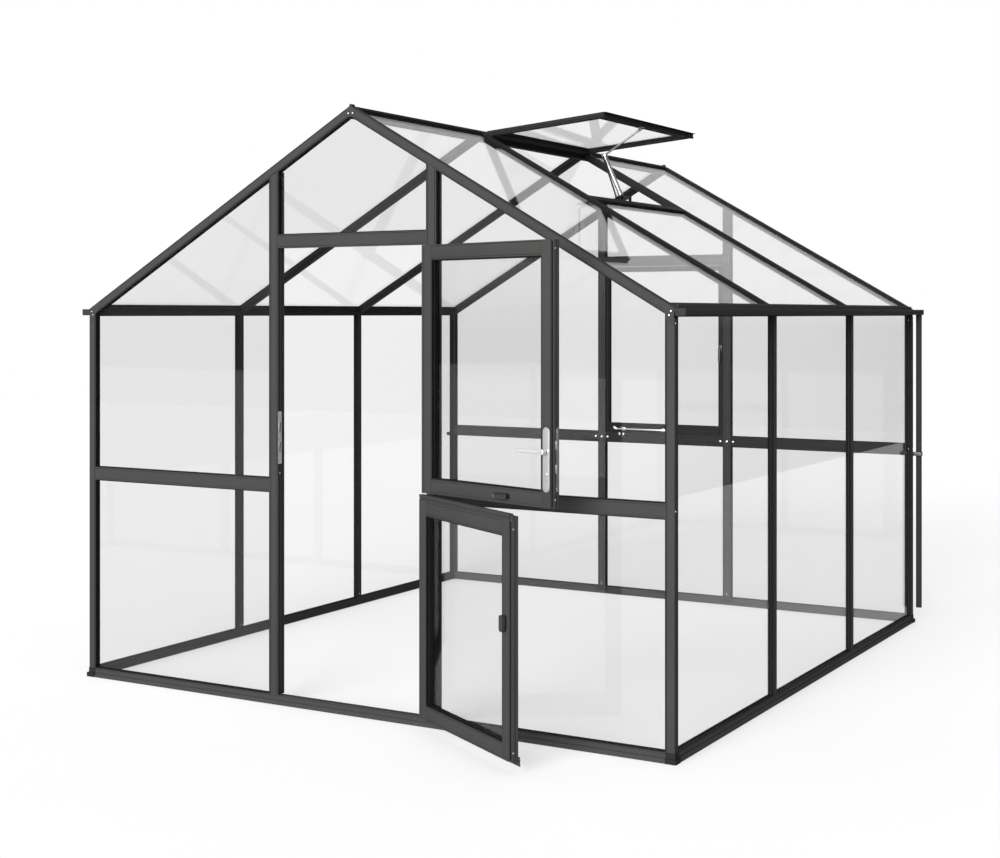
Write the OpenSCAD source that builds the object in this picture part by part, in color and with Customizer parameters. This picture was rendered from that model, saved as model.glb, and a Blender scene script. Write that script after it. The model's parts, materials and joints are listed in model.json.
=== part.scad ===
// Glass greenhouse with a stable door, a roof vent and a rear casement window.
// The origin is on the ground, at the middle of the front sill's outer face.
// X runs along the front, Y runs back along the sides and Z is up.

/* [House] */
// Width over the corner posts
width = 2770; // [2200:10:3400]
// Depth over the corner posts
depth = 3015; // [2400:15:3900]
// Height of the roof surface at the side walls
eaves_z = 1600; // [1450:2:1900]
// Slope of the roof in degrees
roof_pitch = 29.9; // [24:0.1:36]
// Number of glazed bays along each side
side_bays = 3; // [3:2:5]

/* [Bars] */
// Height of the sill
sill_h = 38; // [36:1:60]
// Depth of the sill and of the wall bars, from the outer face inwards
bar_d = 30; // [28:1:40]
// Face width of a corner post
corner_w = 34; // [30:1:50]
// Face width of a door post and of a rear mullion
post_w = 42; // [36:1:60]
// Depth of a door post
post_d = 43; // [43:1:60]
// Height of the lintel and of the mid rails
rail_h = 54; // [44:1:70]
// Face width of a side mullion and of a roof bar
mullion_w = 30; // [26:1:40]
// Thickness of a rafter, square to the slope
rafter_t = 34; // [30:1:46]
// Reach of the drip lip at the foot of the sill
lip_out = 7; // [4:1:20]

/* [Glass] */
// Thickness of a pane
glass_t = 4; // [3:0.5:6]
// Depth of a pane's edge in its slot
bite = 8; // [5:1:9]
// Distance of the wall glass from the outer face
glass_in = 12; // [8:1:14]
// Depth of the roof glass under the roof surface
roof_glass_in = 9; // [6:1:12]

/* [Doorway] */
// Clear width between the door posts
door_w = 712; // [600:2:900]
// Underside of the lintel
lintel_z = 1843; // [1760:1:1860]
// Middle of the mid rails
mid_z = 885; // [700:5:1100]

/* [Door leaves] */
// Gap between a leaf and what surrounds it
leaf_gap = 5; // [5:0.5:8]
// Gap between the foot of the lower leaf and the sill
foot_gap = 11; // [5:1:16]
// Width of the leaf's stiles and rails
stile_w = 56; // [54:1:70]
// Thickness of the outer layer of a leaf
leaf_t = 25; // [22:1:30]
// Thickness of the inner layer of a leaf
inner_t = 7; // [5:1:10]
// Set-back of the inner layer from the free edge
step_w = 12; // [10:1:20]
// Height at which the lower leaf's rail ends
lower_top_z = 875; // [780:1:900]
// Height of the strip on top of the lower leaf
strip_h = 20; // [15:1:30]
// Gap between the strip and the upper leaf
split_gap = 6; // [6:0.5:12]
// Angle at which the upper leaf stands open
upper_open = 163; // [0:0.5:170]
// Angle at which the lower leaf stands open
lower_open = 149; // [0:0.5:170]

/* [Roof vent] */
// Length of the vent along the slope
vent_l = 590; // [450:2:650]
// Angle of the open vent above the horizontal
vent_open = 5; // [0:0.5:10]
// Thickness of the vent's frame
vent_t = 22; // [18:1:26]

/* [Gutters] */
// Reach of the gutter from the wall
gutter_w = 42; // [36:1:60]
// Height of the gutter's outer wall
gutter_h = 27; // [22:1:50]
// Overhang of the gutter behind the house
gutter_over = 48; // [48:1:160]
// Outer diameter of a downpipe
pipe_d = 30; // [24:1:30]
// Height of a downpipe's foot above the ground
pipe_foot_z = 72; // [40:1:200]

/* [Hidden] */

$fn = 48;
half_w = width / 2;
door_half = door_w / 2;
tan_p = tan(roof_pitch);
rafter_v = rafter_t / cos(roof_pitch);   // height of a rafter on a plumb line
slot_gap = 0.3;                          // room round a pane in its slot
bite_v = bite / cos(roof_pitch);
glass_v = glass_t / cos(roof_pitch);
roof_in_v = roof_glass_in / cos(roof_pitch);
plate_t = 3;                             // hinge plates and the lock's plate
bracket_t = 1.5;
bracket_arm = 24;
ridge_half = 18;                         // half the width of the ridge beam
ridge_h = 38;
gutter_t = 3;
beam_z = eaves_z - 29;                   // underside of the eaves beam and of the gutter
upstand_h = 13;                          // edge of the eaves beam that stands over the roof
upstand_t = 4;
seat = 0.02;                             // a post ends just under its rafter
mitre = 0.15;                            // half the gap between two rafters at the ridge
lip_h = 15;
cap_arm = 34;                            // length of a sill corner cap's arms
cap_t = 2;                               // how far a cap stands out past the lip
mid_lo = mid_z - rail_h / 2;
mid_hi = mid_z + rail_h / 2;
lintel_top = lintel_z + rail_h;
bay = depth / side_bays;
vent_bay = floor(side_bays / 2);         // the middle bay, counted from 0 at the front
bar_ys = [for (i = [1 : side_bays - 1]) i * bay];

// The leaves' hinge line stands in front of the right door post
knuckle_r = 9;
pin_r = 4;
pin_gap = 0.05;                          // running clearance of a pin in its bore
hinge_x = door_half + 12;
hinge_y = -(knuckle_r + 3);
knuckle_h = 28;
knuckle_gap = 0.3;
strap_gap = 1.2;                         // between a leaf's hinge strap and the post
hinge_inset = 95;                        // from a leaf's end to the middle of its hinge

// Each leaf as built shut: free side, hinge side, foot and top
leaf_x0 = -door_half + leaf_gap;
leaf_x1 = door_half - leaf_gap;
lower_z0 = sill_h + foot_gap;
lower_z1 = lower_top_z;
upper_z0 = lower_top_z + strip_h + split_gap;
upper_z1 = lintel_z - leaf_gap;
leaf_glass_y = 10;
outer_up = 12;                           // how far the lower leaf's outer layer stands over its rail
drip_out = 8;                            // reach of the lower leaf's drip bar
drip_down = 19;

// Furniture of the upper leaf
lock_x = leaf_x0 + step_w + 19;          // middle of the escutcheon, on the free stile
lever_z = 1098;
lock_z = lever_z - 28;                   // middle of the escutcheon and of the forend
lever_l = 128;
lever_up = 12;                           // clear space between the plate and the lever
spindle_r = 4;
strike_t = 2;
bolt_out = 1;
plate_w = 32;
plate_h = 227;
forend_h = 230;
turn_z = upper_z0 + stile_w / 2;
lower_turn_z = 520;

// Roof surface, underside of the rafters, and a point's height on the roof at x
function roof_z(x) = eaves_z + (half_w - abs(x)) * tan_p;
function under_z(x) = roof_z(x) - rafter_v;
inner_x = half_w - bar_d;                // inner face of the side walls

// Placing

// Extrudes an outline drawn in X and Z from y0 to y1
module along_y(y0, y1) {
    translate([0, y1, 0]) rotate([90, 0, 0]) linear_extrude(y1 - y0) children();
}

// Extrudes an outline drawn in Y and Z from x0 to x1
module along_x(x0, x1) {
    translate([x0, 0, 0]) rotate([90, 0, 90]) linear_extrude(x1 - x0) children();
}

module box(low, high) {
    translate(low) cube(high - low);
}

module both_sides() {
    children();
    mirror([1, 0, 0]) children();
}

module left_side() {
    mirror([1, 0, 0]) children();
}

// Turns what is drawn for the front into the rear
module at_rear() {
    translate([0, depth, 0]) mirror([0, 1, 0]) children();
}

// Swings what is drawn on a shut leaf out by an angle
module swung(angle) {
    translate([hinge_x, hinge_y, 0]) rotate([0, 0, angle])
        translate([-hinge_x, -hinge_y, 0]) children();
}

// Panes, each drawn again with grow > 0 to cut its slot

module wall_pane(x0, x1, z0, z1, grow) {
    box([x0 - grow, glass_in - grow, z0], [x1 + grow, glass_in + glass_t + grow, z1 + grow]);
}

module side_bay_panes(grow) {
    x0 = door_half + post_w - bite;
    x1 = half_w - corner_w + bite;
    wall_pane(x0, x1, sill_h - bite, mid_lo + bite, grow);
    along_y(glass_in - grow, glass_in + glass_t + grow) polygon([
        [x0 - grow, mid_hi - bite], [x1 + grow, mid_hi - bite],
        [x1 + grow, under_z(x1 + grow) + bite_v + grow],
        [x0 - grow, under_z(x0 - grow) + bite_v + grow]]);
}

module gable_pane(grow) {
    x1 = door_half + bite;
    top = bite_v + grow;
    along_y(glass_in - grow, glass_in + glass_t + grow) polygon([
        [-x1 - grow, lintel_top - bite], [x1 + grow, lintel_top - bite],
        [x1 + grow, under_z(x1 + grow) + top], [0, under_z(0) + top],
        [-x1 - grow, under_z(x1 + grow) + top]]);
}

module rear_low_pane(grow) {
    wall_pane(-door_half - bite, door_half + bite, sill_h - bite, mid_lo + bite, grow);
}

// The panes of the right wall, one in each bay between the posts and mullions
module side_panes(grow) {
    for (i = [0 : side_bays - 1]) {
        y0 = i == 0 ? bar_d : i * bay + mullion_w / 2;
        y1 = i == side_bays - 1 ? depth - bar_d : (i + 1) * bay - mullion_w / 2;
        box([half_w - glass_in - glass_t - grow, y0 - bite - grow, sill_h - bite],
            [half_w - glass_in + grow, y1 + bite + grow, beam_z + bite + grow]);
    }
}

// The outline of roof glass from one distance off the middle to another
module roof_pane_outline(x0, x1, grow) {
    polygon([
        [x0 - grow, roof_z(x0 - grow) - roof_in_v + grow],
        [x1, roof_z(x1) - roof_in_v + grow],
        [x1, roof_z(x1) - roof_in_v - glass_v - grow],
        [x0 - grow, roof_z(x0 - grow) - roof_in_v - glass_v - grow]]);
}

vent_sill_x = ridge_half + vent_l * cos(roof_pitch) + 4;   // upper edge of the vent's sill bar
vent_sill_w = 28;

// The panes of the right slope; the bay under the vent starts at the vent's sill bar
module roof_panes(grow, with_vent) {
    for (i = [0 : side_bays - 1]) {
        y0 = i == 0 ? bar_d : i * bay + mullion_w / 2;
        y1 = i == side_bays - 1 ? depth - bar_d : (i + 1) * bay - mullion_w / 2;
        x0 = with_vent && i == vent_bay ? vent_sill_x + vent_sill_w - bite : ridge_half - bite;
        along_y(y0 - bite - grow, y1 + bite + grow)
            roof_pane_outline(x0, inner_x + bite, grow);
    }
}

// Sills

module sill_outline() {
    polygon([[0, 0], [bar_d, 0], [bar_d, sill_h], [0, sill_h]]);
}

module lip_outline() {
    polygon([[0, 0], [-lip_out, 0], [-lip_out, 5], [0, lip_h]]);
}

module front_sill() {
    color("#3c3f42") difference() {
        union() {
            along_x(-half_w, half_w) sill_outline();
            along_x(-half_w + cap_arm, half_w - cap_arm) lip_outline();
        }
        both_sides() {
            side_bay_panes(slot_gap);
            side_panes(slot_gap);
        }
    }
}

module rear_sill() {
    color("#3c3f42") difference() {
        at_rear() union() {
            along_x(-half_w, half_w) sill_outline();
            along_x(-half_w + cap_arm, half_w - cap_arm) lip_outline();
        }
        at_rear() both_sides() side_bay_panes(slot_gap);
        at_rear() rear_low_pane(slot_gap);
        both_sides() side_panes(slot_gap);
    }
}

module side_sills() {
    color("#3c3f42") both_sides() difference() {
        union() {
            box([inner_x, bar_d, 0], [half_w, depth - bar_d, sill_h]);
            translate([half_w, 0, 0]) mirror([1, 0, 0])
                along_y(cap_arm, depth - cap_arm) lip_outline();
        }
        side_panes(slot_gap);
    }
}

// One cap wraps the outside of the corner where two lips would meet
module corner_cap() {
    out = lip_out + cap_t;
    difference() {
        union() {
            box([half_w - cap_arm, -out, 0], [half_w + out, cap_arm, lip_h + cap_t]);
            box([half_w - cap_arm, -cap_t, 0], [half_w + cap_t, cap_arm, sill_h]);
        }
        box([half_w - cap_arm - 1, 0, -1], [half_w, cap_arm + 1, sill_h + 1]);
    }
}

module sill_corner_caps() {
    color("#242628") both_sides() {
        corner_cap();
        at_rear() corner_cap();
    }
}

// Posts, mullions and rails

// A wall bar that stands on the sill and ends under the rafters
module to_rafter(x0, x1, d) {
    along_y(0, d) polygon([[x0, sill_h], [x1, sill_h],
        [x1, under_z(x1) - seat], [x0, under_z(x0) - seat]]);
}

module corner_pair() {
    both_sides() difference() {
        to_rafter(half_w - corner_w, half_w, bar_d);
        side_bay_panes(slot_gap);
    }
}

module front_corner_posts() {
    color("#3c3f42") difference() {
        corner_pair();
        both_sides() side_panes(slot_gap);
    }
}

module rear_corner_posts() {
    color("#3c3f42") difference() {
        at_rear() corner_pair();
        both_sides() side_panes(slot_gap);
    }
}

mullion_d = 27;

module wall_bars() {
    difference() {
        for (y = bar_ys)
            box([half_w - mullion_d, y - mullion_w / 2, sill_h], [half_w, y + mullion_w / 2, beam_z]);
        side_panes(slot_gap);
    }
}

module left_wall_bars() {
    color("#3c3f42") left_side() wall_bars();
}

module right_wall_bars() {
    color("#3c3f42") wall_bars();
}

module door_posts() {
    color("#3c3f42") difference() {
        both_sides() difference() {
            to_rafter(door_half, door_half + post_w, post_d);
            side_bay_panes(slot_gap);
            gable_pane(slot_gap);
        }
        strike_shape(1);
    }
}

module rear_mullions() {
    color("#3c3f42") at_rear() both_sides() difference() {
        to_rafter(door_half, door_half + post_w, bar_d);
        side_bay_panes(slot_gap);
        gable_pane(slot_gap);
        rear_low_pane(slot_gap);
    }
}

module lintel() {
    difference() {
        box([-door_half, 0, lintel_z], [door_half, bar_d, lintel_top]);
        gable_pane(slot_gap);
    }
}

module door_lintel() {
    color("#3c3f42") lintel();
}

module rear_transom() {
    color("#3c3f42") at_rear() lintel();
}

module side_bay_rail() {
    difference() {
        box([door_half + post_w, 0, mid_lo], [half_w - corner_w, bar_d, mid_hi]);
        side_bay_panes(slot_gap);
    }
}

module front_mid_rails() {
    color("#3c3f42") both_sides() side_bay_rail();
}

module rear_mid_rails() {
    color("#3c3f42") at_rear() {
        both_sides() side_bay_rail();
        difference() {
            box([-door_half, 0, mid_lo], [door_half, bar_d, mid_hi]);
            rear_low_pane(slot_gap);
        }
    }
}

// Roof

// The outline of a bar that lies in the slope between two distances from the middle
module slope_bar(x0, x1) {
    polygon([[x0, roof_z(x0)], [x1, roof_z(x1)], [x1, under_z(x1)], [x0, under_z(x0)]]);
}

module rafter_pair() {
    both_sides() difference() {
        along_y(0, bar_d) slope_bar(mitre, half_w);
        side_bay_panes(slot_gap);
        gable_pane(slot_gap);
    }
}

module front_rafters() {
    color("#3c3f42") difference() {
        rafter_pair();
        both_sides() {
            roof_panes(slot_gap, false);
            side_panes(slot_gap);
        }
    }
}

module rear_rafters() {
    color("#3c3f42") difference() {
        at_rear() rafter_pair();
        both_sides() {
            roof_panes(slot_gap, false);
            side_panes(slot_gap);
        }
    }
}

module eaves_beams() {
    color("#3c3f42") both_sides() difference() {
        along_y(bar_d, depth - bar_d) polygon([
            [inner_x, beam_z], [half_w, beam_z], [half_w, eaves_z + upstand_h],
            [half_w - upstand_t, eaves_z + upstand_h], [half_w - upstand_t, roof_z(half_w - upstand_t)],
            [inner_x, roof_z(inner_x)]]);
        side_panes(slot_gap);
        roof_panes(slot_gap, false);
    }
}

vent_bead_r = 4;
vent_bead_z = roof_z(ridge_half) - 12;
vent_y0 = vent_bay * bay + mullion_w / 2 + 2;
vent_y1 = (vent_bay + 1) * bay - mullion_w / 2 - 2;

module ridge_beam() {
    color("#3c3f42") difference() {
        along_y(bar_d, depth - bar_d) polygon([
            [-ridge_half, roof_z(ridge_half) - ridge_h], [ridge_half, roof_z(ridge_half) - ridge_h],
            [ridge_half, roof_z(ridge_half)], [0, roof_z(0)], [-ridge_half, roof_z(ridge_half)]]);
        left_side() roof_panes(slot_gap, false);
        roof_panes(slot_gap, true);
        vent_bead(vent_bead_r + slot_gap, 1);
    }
}

module roof_bars(with_vent) {
    difference() {
        for (y = bar_ys)
            along_y(y - mullion_w / 2, y + mullion_w / 2) slope_bar(ridge_half, inner_x);
        roof_panes(slot_gap, with_vent);
    }
}

module left_roof_bars() {
    color("#3c3f42") left_side() roof_bars(false);
}

module right_roof_bars() {
    color("#3c3f42") roof_bars(true);
}

module vent_sill_bar() {
    color("#3c3f42") difference() {
        along_y(vent_bay * bay + mullion_w / 2, (vent_bay + 1) * bay - mullion_w / 2)
            slope_bar(vent_sill_x, vent_sill_x + vent_sill_w);
        roof_panes(slot_gap, true);
    }
}

// Glass

module left_wall_glass() {
    color("#cfd8d8", 0.4) left_side() side_panes(0);
}

module right_wall_glass() {
    color("#cfd8d8", 0.4) side_panes(0);
}

module front_wall_glass() {
    color("#cfd8d8", 0.4) both_sides() side_bay_panes(0);
}

module front_gable_glass() {
    color("#cfd8d8", 0.4) gable_pane(0);
}

module rear_wall_glass() {
    color("#cfd8d8", 0.4) at_rear() {
        both_sides() side_bay_panes(0);
        rear_low_pane(0);
    }
}

module rear_gable_glass() {
    color("#cfd8d8", 0.4) at_rear() gable_pane(0);
}

module left_roof_glass() {
    color("#cfd8d8", 0.4) left_side() roof_panes(0, false);
}

module right_roof_glass() {
    color("#cfd8d8", 0.4) roof_panes(0, true);
}

// Roof vent

// The round bead that hooks the vent into the ridge beam, and its groove there
module vent_bead(r, extra) {
    translate([ridge_half, vent_y0 - extra, vent_bead_z]) rotate([-90, 0, 0])
        cylinder(h = vent_y1 - vent_y0 + 2 * extra, r = r);
}

// Places what is drawn with the hinge along Y at the origin and the vent towards +X
module vent_place() {
    translate([ridge_half, 0, vent_bead_z]) rotate([0, -vent_open, 0]) children();
}

vent_rail = 40;
vent_x0 = 7;                             // the frame starts clear of the ridge beam
vent_glass_z = 8;

module vent_pane(grow) {
    box([vent_x0 + vent_rail - bite - grow, vent_y0 + vent_rail - bite - grow, vent_glass_z - grow],
        [vent_l - vent_rail + bite + grow, vent_y1 - vent_rail + bite + grow,
         vent_glass_z + glass_t + grow]);
}

module roof_vent_frame() {
    color("#3c3f42") {
        vent_place() difference() {
            union() {
                box([vent_x0, vent_y0, -2], [vent_l, vent_y1, vent_t - 2]);
                box([0, vent_y0, -2], [vent_x0 + 1, vent_y1, 2]);
                translate([0, vent_y0, 0]) rotate([-90, 0, 0])
                    cylinder(h = vent_y1 - vent_y0, r = vent_bead_r);
            }
            box([vent_x0 + vent_rail, vent_y0 + vent_rail, -3],
                [vent_l - vent_rail, vent_y1 - vent_rail, vent_t]);
            vent_pane(slot_gap);
        }
    }
}

module roof_vent_glass() {
    color("#cfd8d8", 0.4) vent_place() vent_pane(0);
}

// A round rod between two points at the same y
module rod(y, a, b, r) {
    dx = b[0] - a[0];
    dz = b[1] - a[1];
    translate([a[0], y, a[1]]) rotate([0, atan2(dx, dz), 0]) cylinder(h = norm([dx, dz]), r = r);
}

// The automatic opener: an arm from the vent, an elbow, and a cylinder down to the sill bar
opener_y = (vent_y0 + vent_y1) / 2 - 67;
opener_foot = [vent_sill_x - 43, roof_z(vent_sill_x) + 17];
opener_elbow = opener_foot + [-89, 196];
opener_top_x = vent_l - vent_rail / 2;

module vent_opener() {
    top_x = ridge_half + opener_top_x * cos(vent_open) + 2 * sin(vent_open);
    top_z = vent_bead_z + opener_top_x * sin(vent_open) - 2 * cos(vent_open);
    top = [top_x, top_z - 8];
    color("#b9bcc0") {
        vent_place() box([opener_top_x - 18, opener_y - 14, -5], [opener_top_x + 18, opener_y + 14, -2]);
        rod(opener_y, top, opener_elbow, 5);
        translate([opener_elbow[0], opener_y - 9, opener_elbow[1]]) rotate([-90, 0, 0])
            cylinder(h = 18, r = 11);
        rod(opener_y, opener_elbow, opener_foot, 11);
        translate([opener_foot[0], opener_y - 12, opener_foot[1]]) rotate([-90, 0, 0])
            cylinder(h = 24, r = 13);
        box([opener_foot[0], opener_y - 12, opener_foot[1] - 10],
            [vent_sill_x, opener_y + 12, opener_foot[1] + 6]);
        box([vent_sill_x - 4, opener_y - 12, roof_z(vent_sill_x) - 30],
            [vent_sill_x, opener_y + 12, opener_foot[1] + 6]);
    }
}

// Rear casement window, shut in the bay over the rear mid rail

window_gap = 2;
window_seat = 0.3;
window_side = 26;
window_rail = 50;
window_t = 26;
window_x = door_half - window_gap;
window_z0 = mid_hi + window_seat;
window_z1 = lintel_z - window_gap;

module window_pane(grow) {
    box([-window_x + window_side - bite - grow, glass_in - grow, window_z0 + window_rail - bite],
        [window_x - window_side + bite + grow, glass_in + glass_t + grow,
         window_z1 - window_side + bite + grow]);
}

module rear_window_frame() {
    color("#3c3f42") at_rear() difference() {
        box([-window_x, 2, window_z0], [window_x, 2 + window_t, window_z1]);
        box([-window_x + window_side, 1, window_z0 + window_rail],
            [window_x - window_side, 3 + window_t, window_z1 - window_side]);
        window_pane(slot_gap);
    }
}

module rear_window_glass() {
    color("#cfd8d8", 0.4) at_rear() window_pane(0);
}

// A flat bar with a hooked end, held by two lugs on the window's bottom rail
module rear_window_stay() {
    inside = 2 + window_t;
    color("#c4c6c9") at_rear() {
        for (x = [-240, 0])
            box([x - 12, inside, window_z0 + 12], [x + 12, inside + 5, window_z0 + 28]);
        box([-280, inside + 5, window_z0 + 16], [20, inside + 9, window_z0 + 24]);
    }
}

module rear_window_handle() {
    inside = 2 + window_t;
    color("#1c1d1e") at_rear() translate([window_x - window_side / 2, 0, 1385]) {
        box([-10, inside, -22], [10, inside + 5, 22]);
        box([-5, inside + 5, -5], [5, inside + 24, 5]);
        box([-5, inside + 14, -70], [5, inside + 24, -5]);
    }
}

// Gutters and downpipes

pipe_y = depth + 30;
pipe_wall = 2;

module gutters() {
    color("#35383a") both_sides() difference() {
        union() {
            difference() {
                box([half_w, 0, beam_z], [half_w + gutter_w, depth + gutter_over, beam_z + gutter_h]);
                box([half_w + gutter_t, gutter_t, beam_z + gutter_t],
                    [half_w + gutter_w - gutter_t, depth + gutter_over - gutter_t,
                     beam_z + gutter_h + 1]);
            }
        }
        translate([half_w + gutter_w / 2, pipe_y, beam_z - 1])
            cylinder(h = gutter_t + 2, d = pipe_d - 2 * pipe_wall);
    }
}

module downpipes() {
    color("#35383a") both_sides() translate([half_w + gutter_w / 2, pipe_y, pipe_foot_z])
        difference() {
            cylinder(h = beam_z - pipe_foot_z, d = pipe_d);
            translate([0, 0, -1]) cylinder(h = beam_z - pipe_foot_z + 2, d = pipe_d - 2 * pipe_wall);
        }
}

clip_z = 860;
clip_h = 20;

module pipe_clips() {
    color("#2c2e30") both_sides() translate([half_w + gutter_w / 2, pipe_y, clip_z - clip_h / 2])
        difference() {
            union() {
                cylinder(h = clip_h, d = pipe_d + 7);
                translate([-gutter_w / 2 - 24, depth - pipe_y, 0]) cube([gutter_w / 2 + 42, 3, clip_h]);
                translate([-6, depth - pipe_y, 0]) cube([12, pipe_y - depth - pipe_d / 2, clip_h]);
            }
            translate([0, 0, -1]) cylinder(h = clip_h + 2, d = pipe_d + 0.6);
        }
}

// Corner and apex brackets

module eaves_bracket() {
    x0 = half_w - corner_w;
    arm = x0 - bracket_arm;
    along_y(-bracket_t, 0) polygon([
        [x0, under_z(x0) - bracket_arm], [half_w - 2, under_z(half_w) - bracket_arm],
        [half_w - 2, roof_z(half_w) - 10], [half_w - 10, roof_z(half_w - 10) - 3],
        [arm, roof_z(arm) - 3], [arm, under_z(arm) + 2], [x0 - 7, under_z(x0 - 7)], [x0, under_z(x0) - 7]]);
}

module apex_bracket() {
    x = bracket_arm;
    along_y(-bracket_t, 0) polygon([
        [-x, roof_z(x) - 3], [0, roof_z(0) - 3], [x, roof_z(x) - 3],
        [x, under_z(x) + 2], [9, under_z(9)], [-9, under_z(9)], [-x, under_z(x) + 2]]);
}

module corner_brackets() {
    color("#303335") {
        both_sides() {
            eaves_bracket();
            at_rear() eaves_bracket();
        }
        apex_bracket();
        at_rear() apex_bracket();
    }
}

// Door hinges, strike and leaves

// The lock's keeper, let into the left door post
module strike_shape(reach) {
    box([-door_half - strike_t, 1, lever_z - 127], [-door_half + reach, 26, lever_z + 85]);
}

module strike_plate() {
    color("#c4c6c9") difference() {
        strike_shape(0);
        for (z = [lever_z - 60, lever_z + 21])
            box([-door_half - strike_t - 1, 8, z - 22], [-door_half + 1, 20, z + 22]);
    }
}

// The leaf's knuckle turns on the pin above the fixed knuckle
module fixed_hinge(z) {
    z0 = z - knuckle_h - knuckle_gap / 2;
    translate([hinge_x, hinge_y, z0]) {
        cylinder(h = knuckle_h, r = knuckle_r);
        cylinder(h = 2 * knuckle_h + knuckle_gap, r = pin_r);
    }
    box([hinge_x, -plate_t - 1, z0], [door_half + post_w - 4, 0, z0 + knuckle_h]);
}

module leaf_knuckle(z) {
    z0 = z + knuckle_gap / 2;
    difference() {
        union() {
            translate([hinge_x, hinge_y, z0]) cylinder(h = knuckle_h, r = knuckle_r);
            box([leaf_x1 - 44, -plate_t - 1, z0], [leaf_x1, 0, z0 + knuckle_h]);
            box([leaf_x1 - 1, -plate_t - 1, z0], [hinge_x, -strap_gap, z0 + knuckle_h]);
        }
        translate([hinge_x, hinge_y, z0 - 1]) cylinder(h = knuckle_h + 2, r = pin_r + pin_gap);
    }
}

function hinge_zs(z0, z1) = [z0 + hinge_inset, z1 - hinge_inset];

module door_hinges() {
    color("#2c2e30") {
        for (z = hinge_zs(lower_z0, lower_z1)) fixed_hinge(z);
        for (z = hinge_zs(upper_z0, upper_z1)) fixed_hinge(z);
    }
}

module leaf_pane(z0, z1, grow) {
    box([leaf_x0 + stile_w - bite - grow, leaf_glass_y - grow, z0 + stile_w - bite],
        [leaf_x1 - stile_w + bite + grow, leaf_glass_y + glass_t + grow, z1 - stile_w + bite + grow]);
}

// A leaf's frame: a full outer layer and an inner layer set back from the free edge
module leaf_frame(z0, z1) {
    difference() {
        union() {
            box([leaf_x0, 0, z0], [leaf_x1, leaf_t, z1]);
            box([leaf_x0 + step_w, leaf_t - 1, z0], [leaf_x1, leaf_t + inner_t, z1]);
        }
        box([leaf_x0 + stile_w, -1, z0 + stile_w],
            [leaf_x1 - stile_w, leaf_t + inner_t + 1, z1 - stile_w]);
        leaf_pane(z0, z1, slot_gap);
    }
    for (z = hinge_zs(z0, z1)) leaf_knuckle(z);
}

module spindle_bore(x, z) {
    translate([x, leaf_t + inner_t + 1, z]) rotate([90, 0, 0])
        cylinder(h = 15, r = spindle_r + pin_gap);
}

module upper_leaf_frame() {
    color("#3c3f42") swung(upper_open) difference() {
        leaf_frame(upper_z0, upper_z1);
        spindle_bore(lock_x, lever_z);
        spindle_bore(turn_x, turn_z);
        box([leaf_x0 - 1, 2, lock_z - forend_h / 2 - 0.2],
            [leaf_x0 + 2.2, leaf_t - 2, lock_z + forend_h / 2 + 0.2]);
    }
}

module upper_leaf_glass() {
    color("#cfd8d8", 0.4) swung(upper_open) leaf_pane(upper_z0, upper_z1, 0);
}

// The lock: a long plate on the inner face, and a forend on the edge with latch and bolt
module upper_leaf_lock() {
    face = leaf_t + inner_t;
    color("#c4c6c9") swung(upper_open) {
        difference() {
            union() {
                box([lock_x - plate_w / 2, face, lock_z - plate_h / 2 + plate_w / 2],
                    [lock_x + plate_w / 2, face + plate_t, lock_z + plate_h / 2 - plate_w / 2]);
                for (z = [lock_z - plate_h / 2 + plate_w / 2, lock_z + plate_h / 2 - plate_w / 2])
                    translate([lock_x, face + plate_t, z]) rotate([90, 0, 0])
                        cylinder(h = plate_t, d = plate_w);
            }
            translate([lock_x, face + plate_t + 1, lever_z]) rotate([90, 0, 0])
                cylinder(h = plate_t + 2, r = spindle_r + pin_gap);
        }
        box([leaf_x0, 2.2, lock_z - forend_h / 2], [leaf_x0 + 2, leaf_t - 2.2, lock_z + forend_h / 2]);
        for (z = [lever_z + 8, lever_z - 74])
            box([leaf_x0 - bolt_out, 8, z], [leaf_x0, 18, z + 30]);
    }
}

// The lever turns on its spindle and points to the hinge side
module lever_handle() {
    face = leaf_t + inner_t;
    y0 = face + plate_t + lever_up;
    color("#c4c6c9") swung(upper_open) {
        translate([lock_x, y0 + 2, lever_z]) rotate([90, 0, 0])
            cylinder(h = lever_up + plate_t + 14, r = spindle_r);
        translate([lock_x, y0 + 12, lever_z]) rotate([90, 0, 0]) cylinder(h = 12, r = 10);
        box([lock_x, y0, lever_z - 7], [lock_x + lever_l - 7, y0 + 12, lever_z + 7]);
        translate([lock_x + lever_l - 7, y0 + 12, lever_z]) rotate([90, 0, 0])
            cylinder(h = 12, r = 7);
    }
}

turn_x = leaf_x0 + 250;
turn_l = 70;
turn_r = 10;

// A turn knob: a spindle in the leaf and a round-ended bar that lies along X
module turn_knob(x, z) {
    face = leaf_t + inner_t;
    translate([x, face, z]) rotate([-90, 0, 0]) {
        translate([0, 0, -10]) cylinder(h = 20, r = spindle_r);
        translate([-turn_l / 2 + turn_r, -turn_r, 6]) cube([turn_l - 2 * turn_r, 2 * turn_r, 16]);
        for (s = [-1, 1])
            translate([s * (turn_l / 2 - turn_r), 0, 6]) cylinder(h = 16, r = turn_r);
    }
}

module upper_turn_knob() {
    color("#1c1d1e") swung(upper_open) turn_knob(turn_x, turn_z);
}

lower_turn_x = leaf_x0 + step_w + 20;

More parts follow.
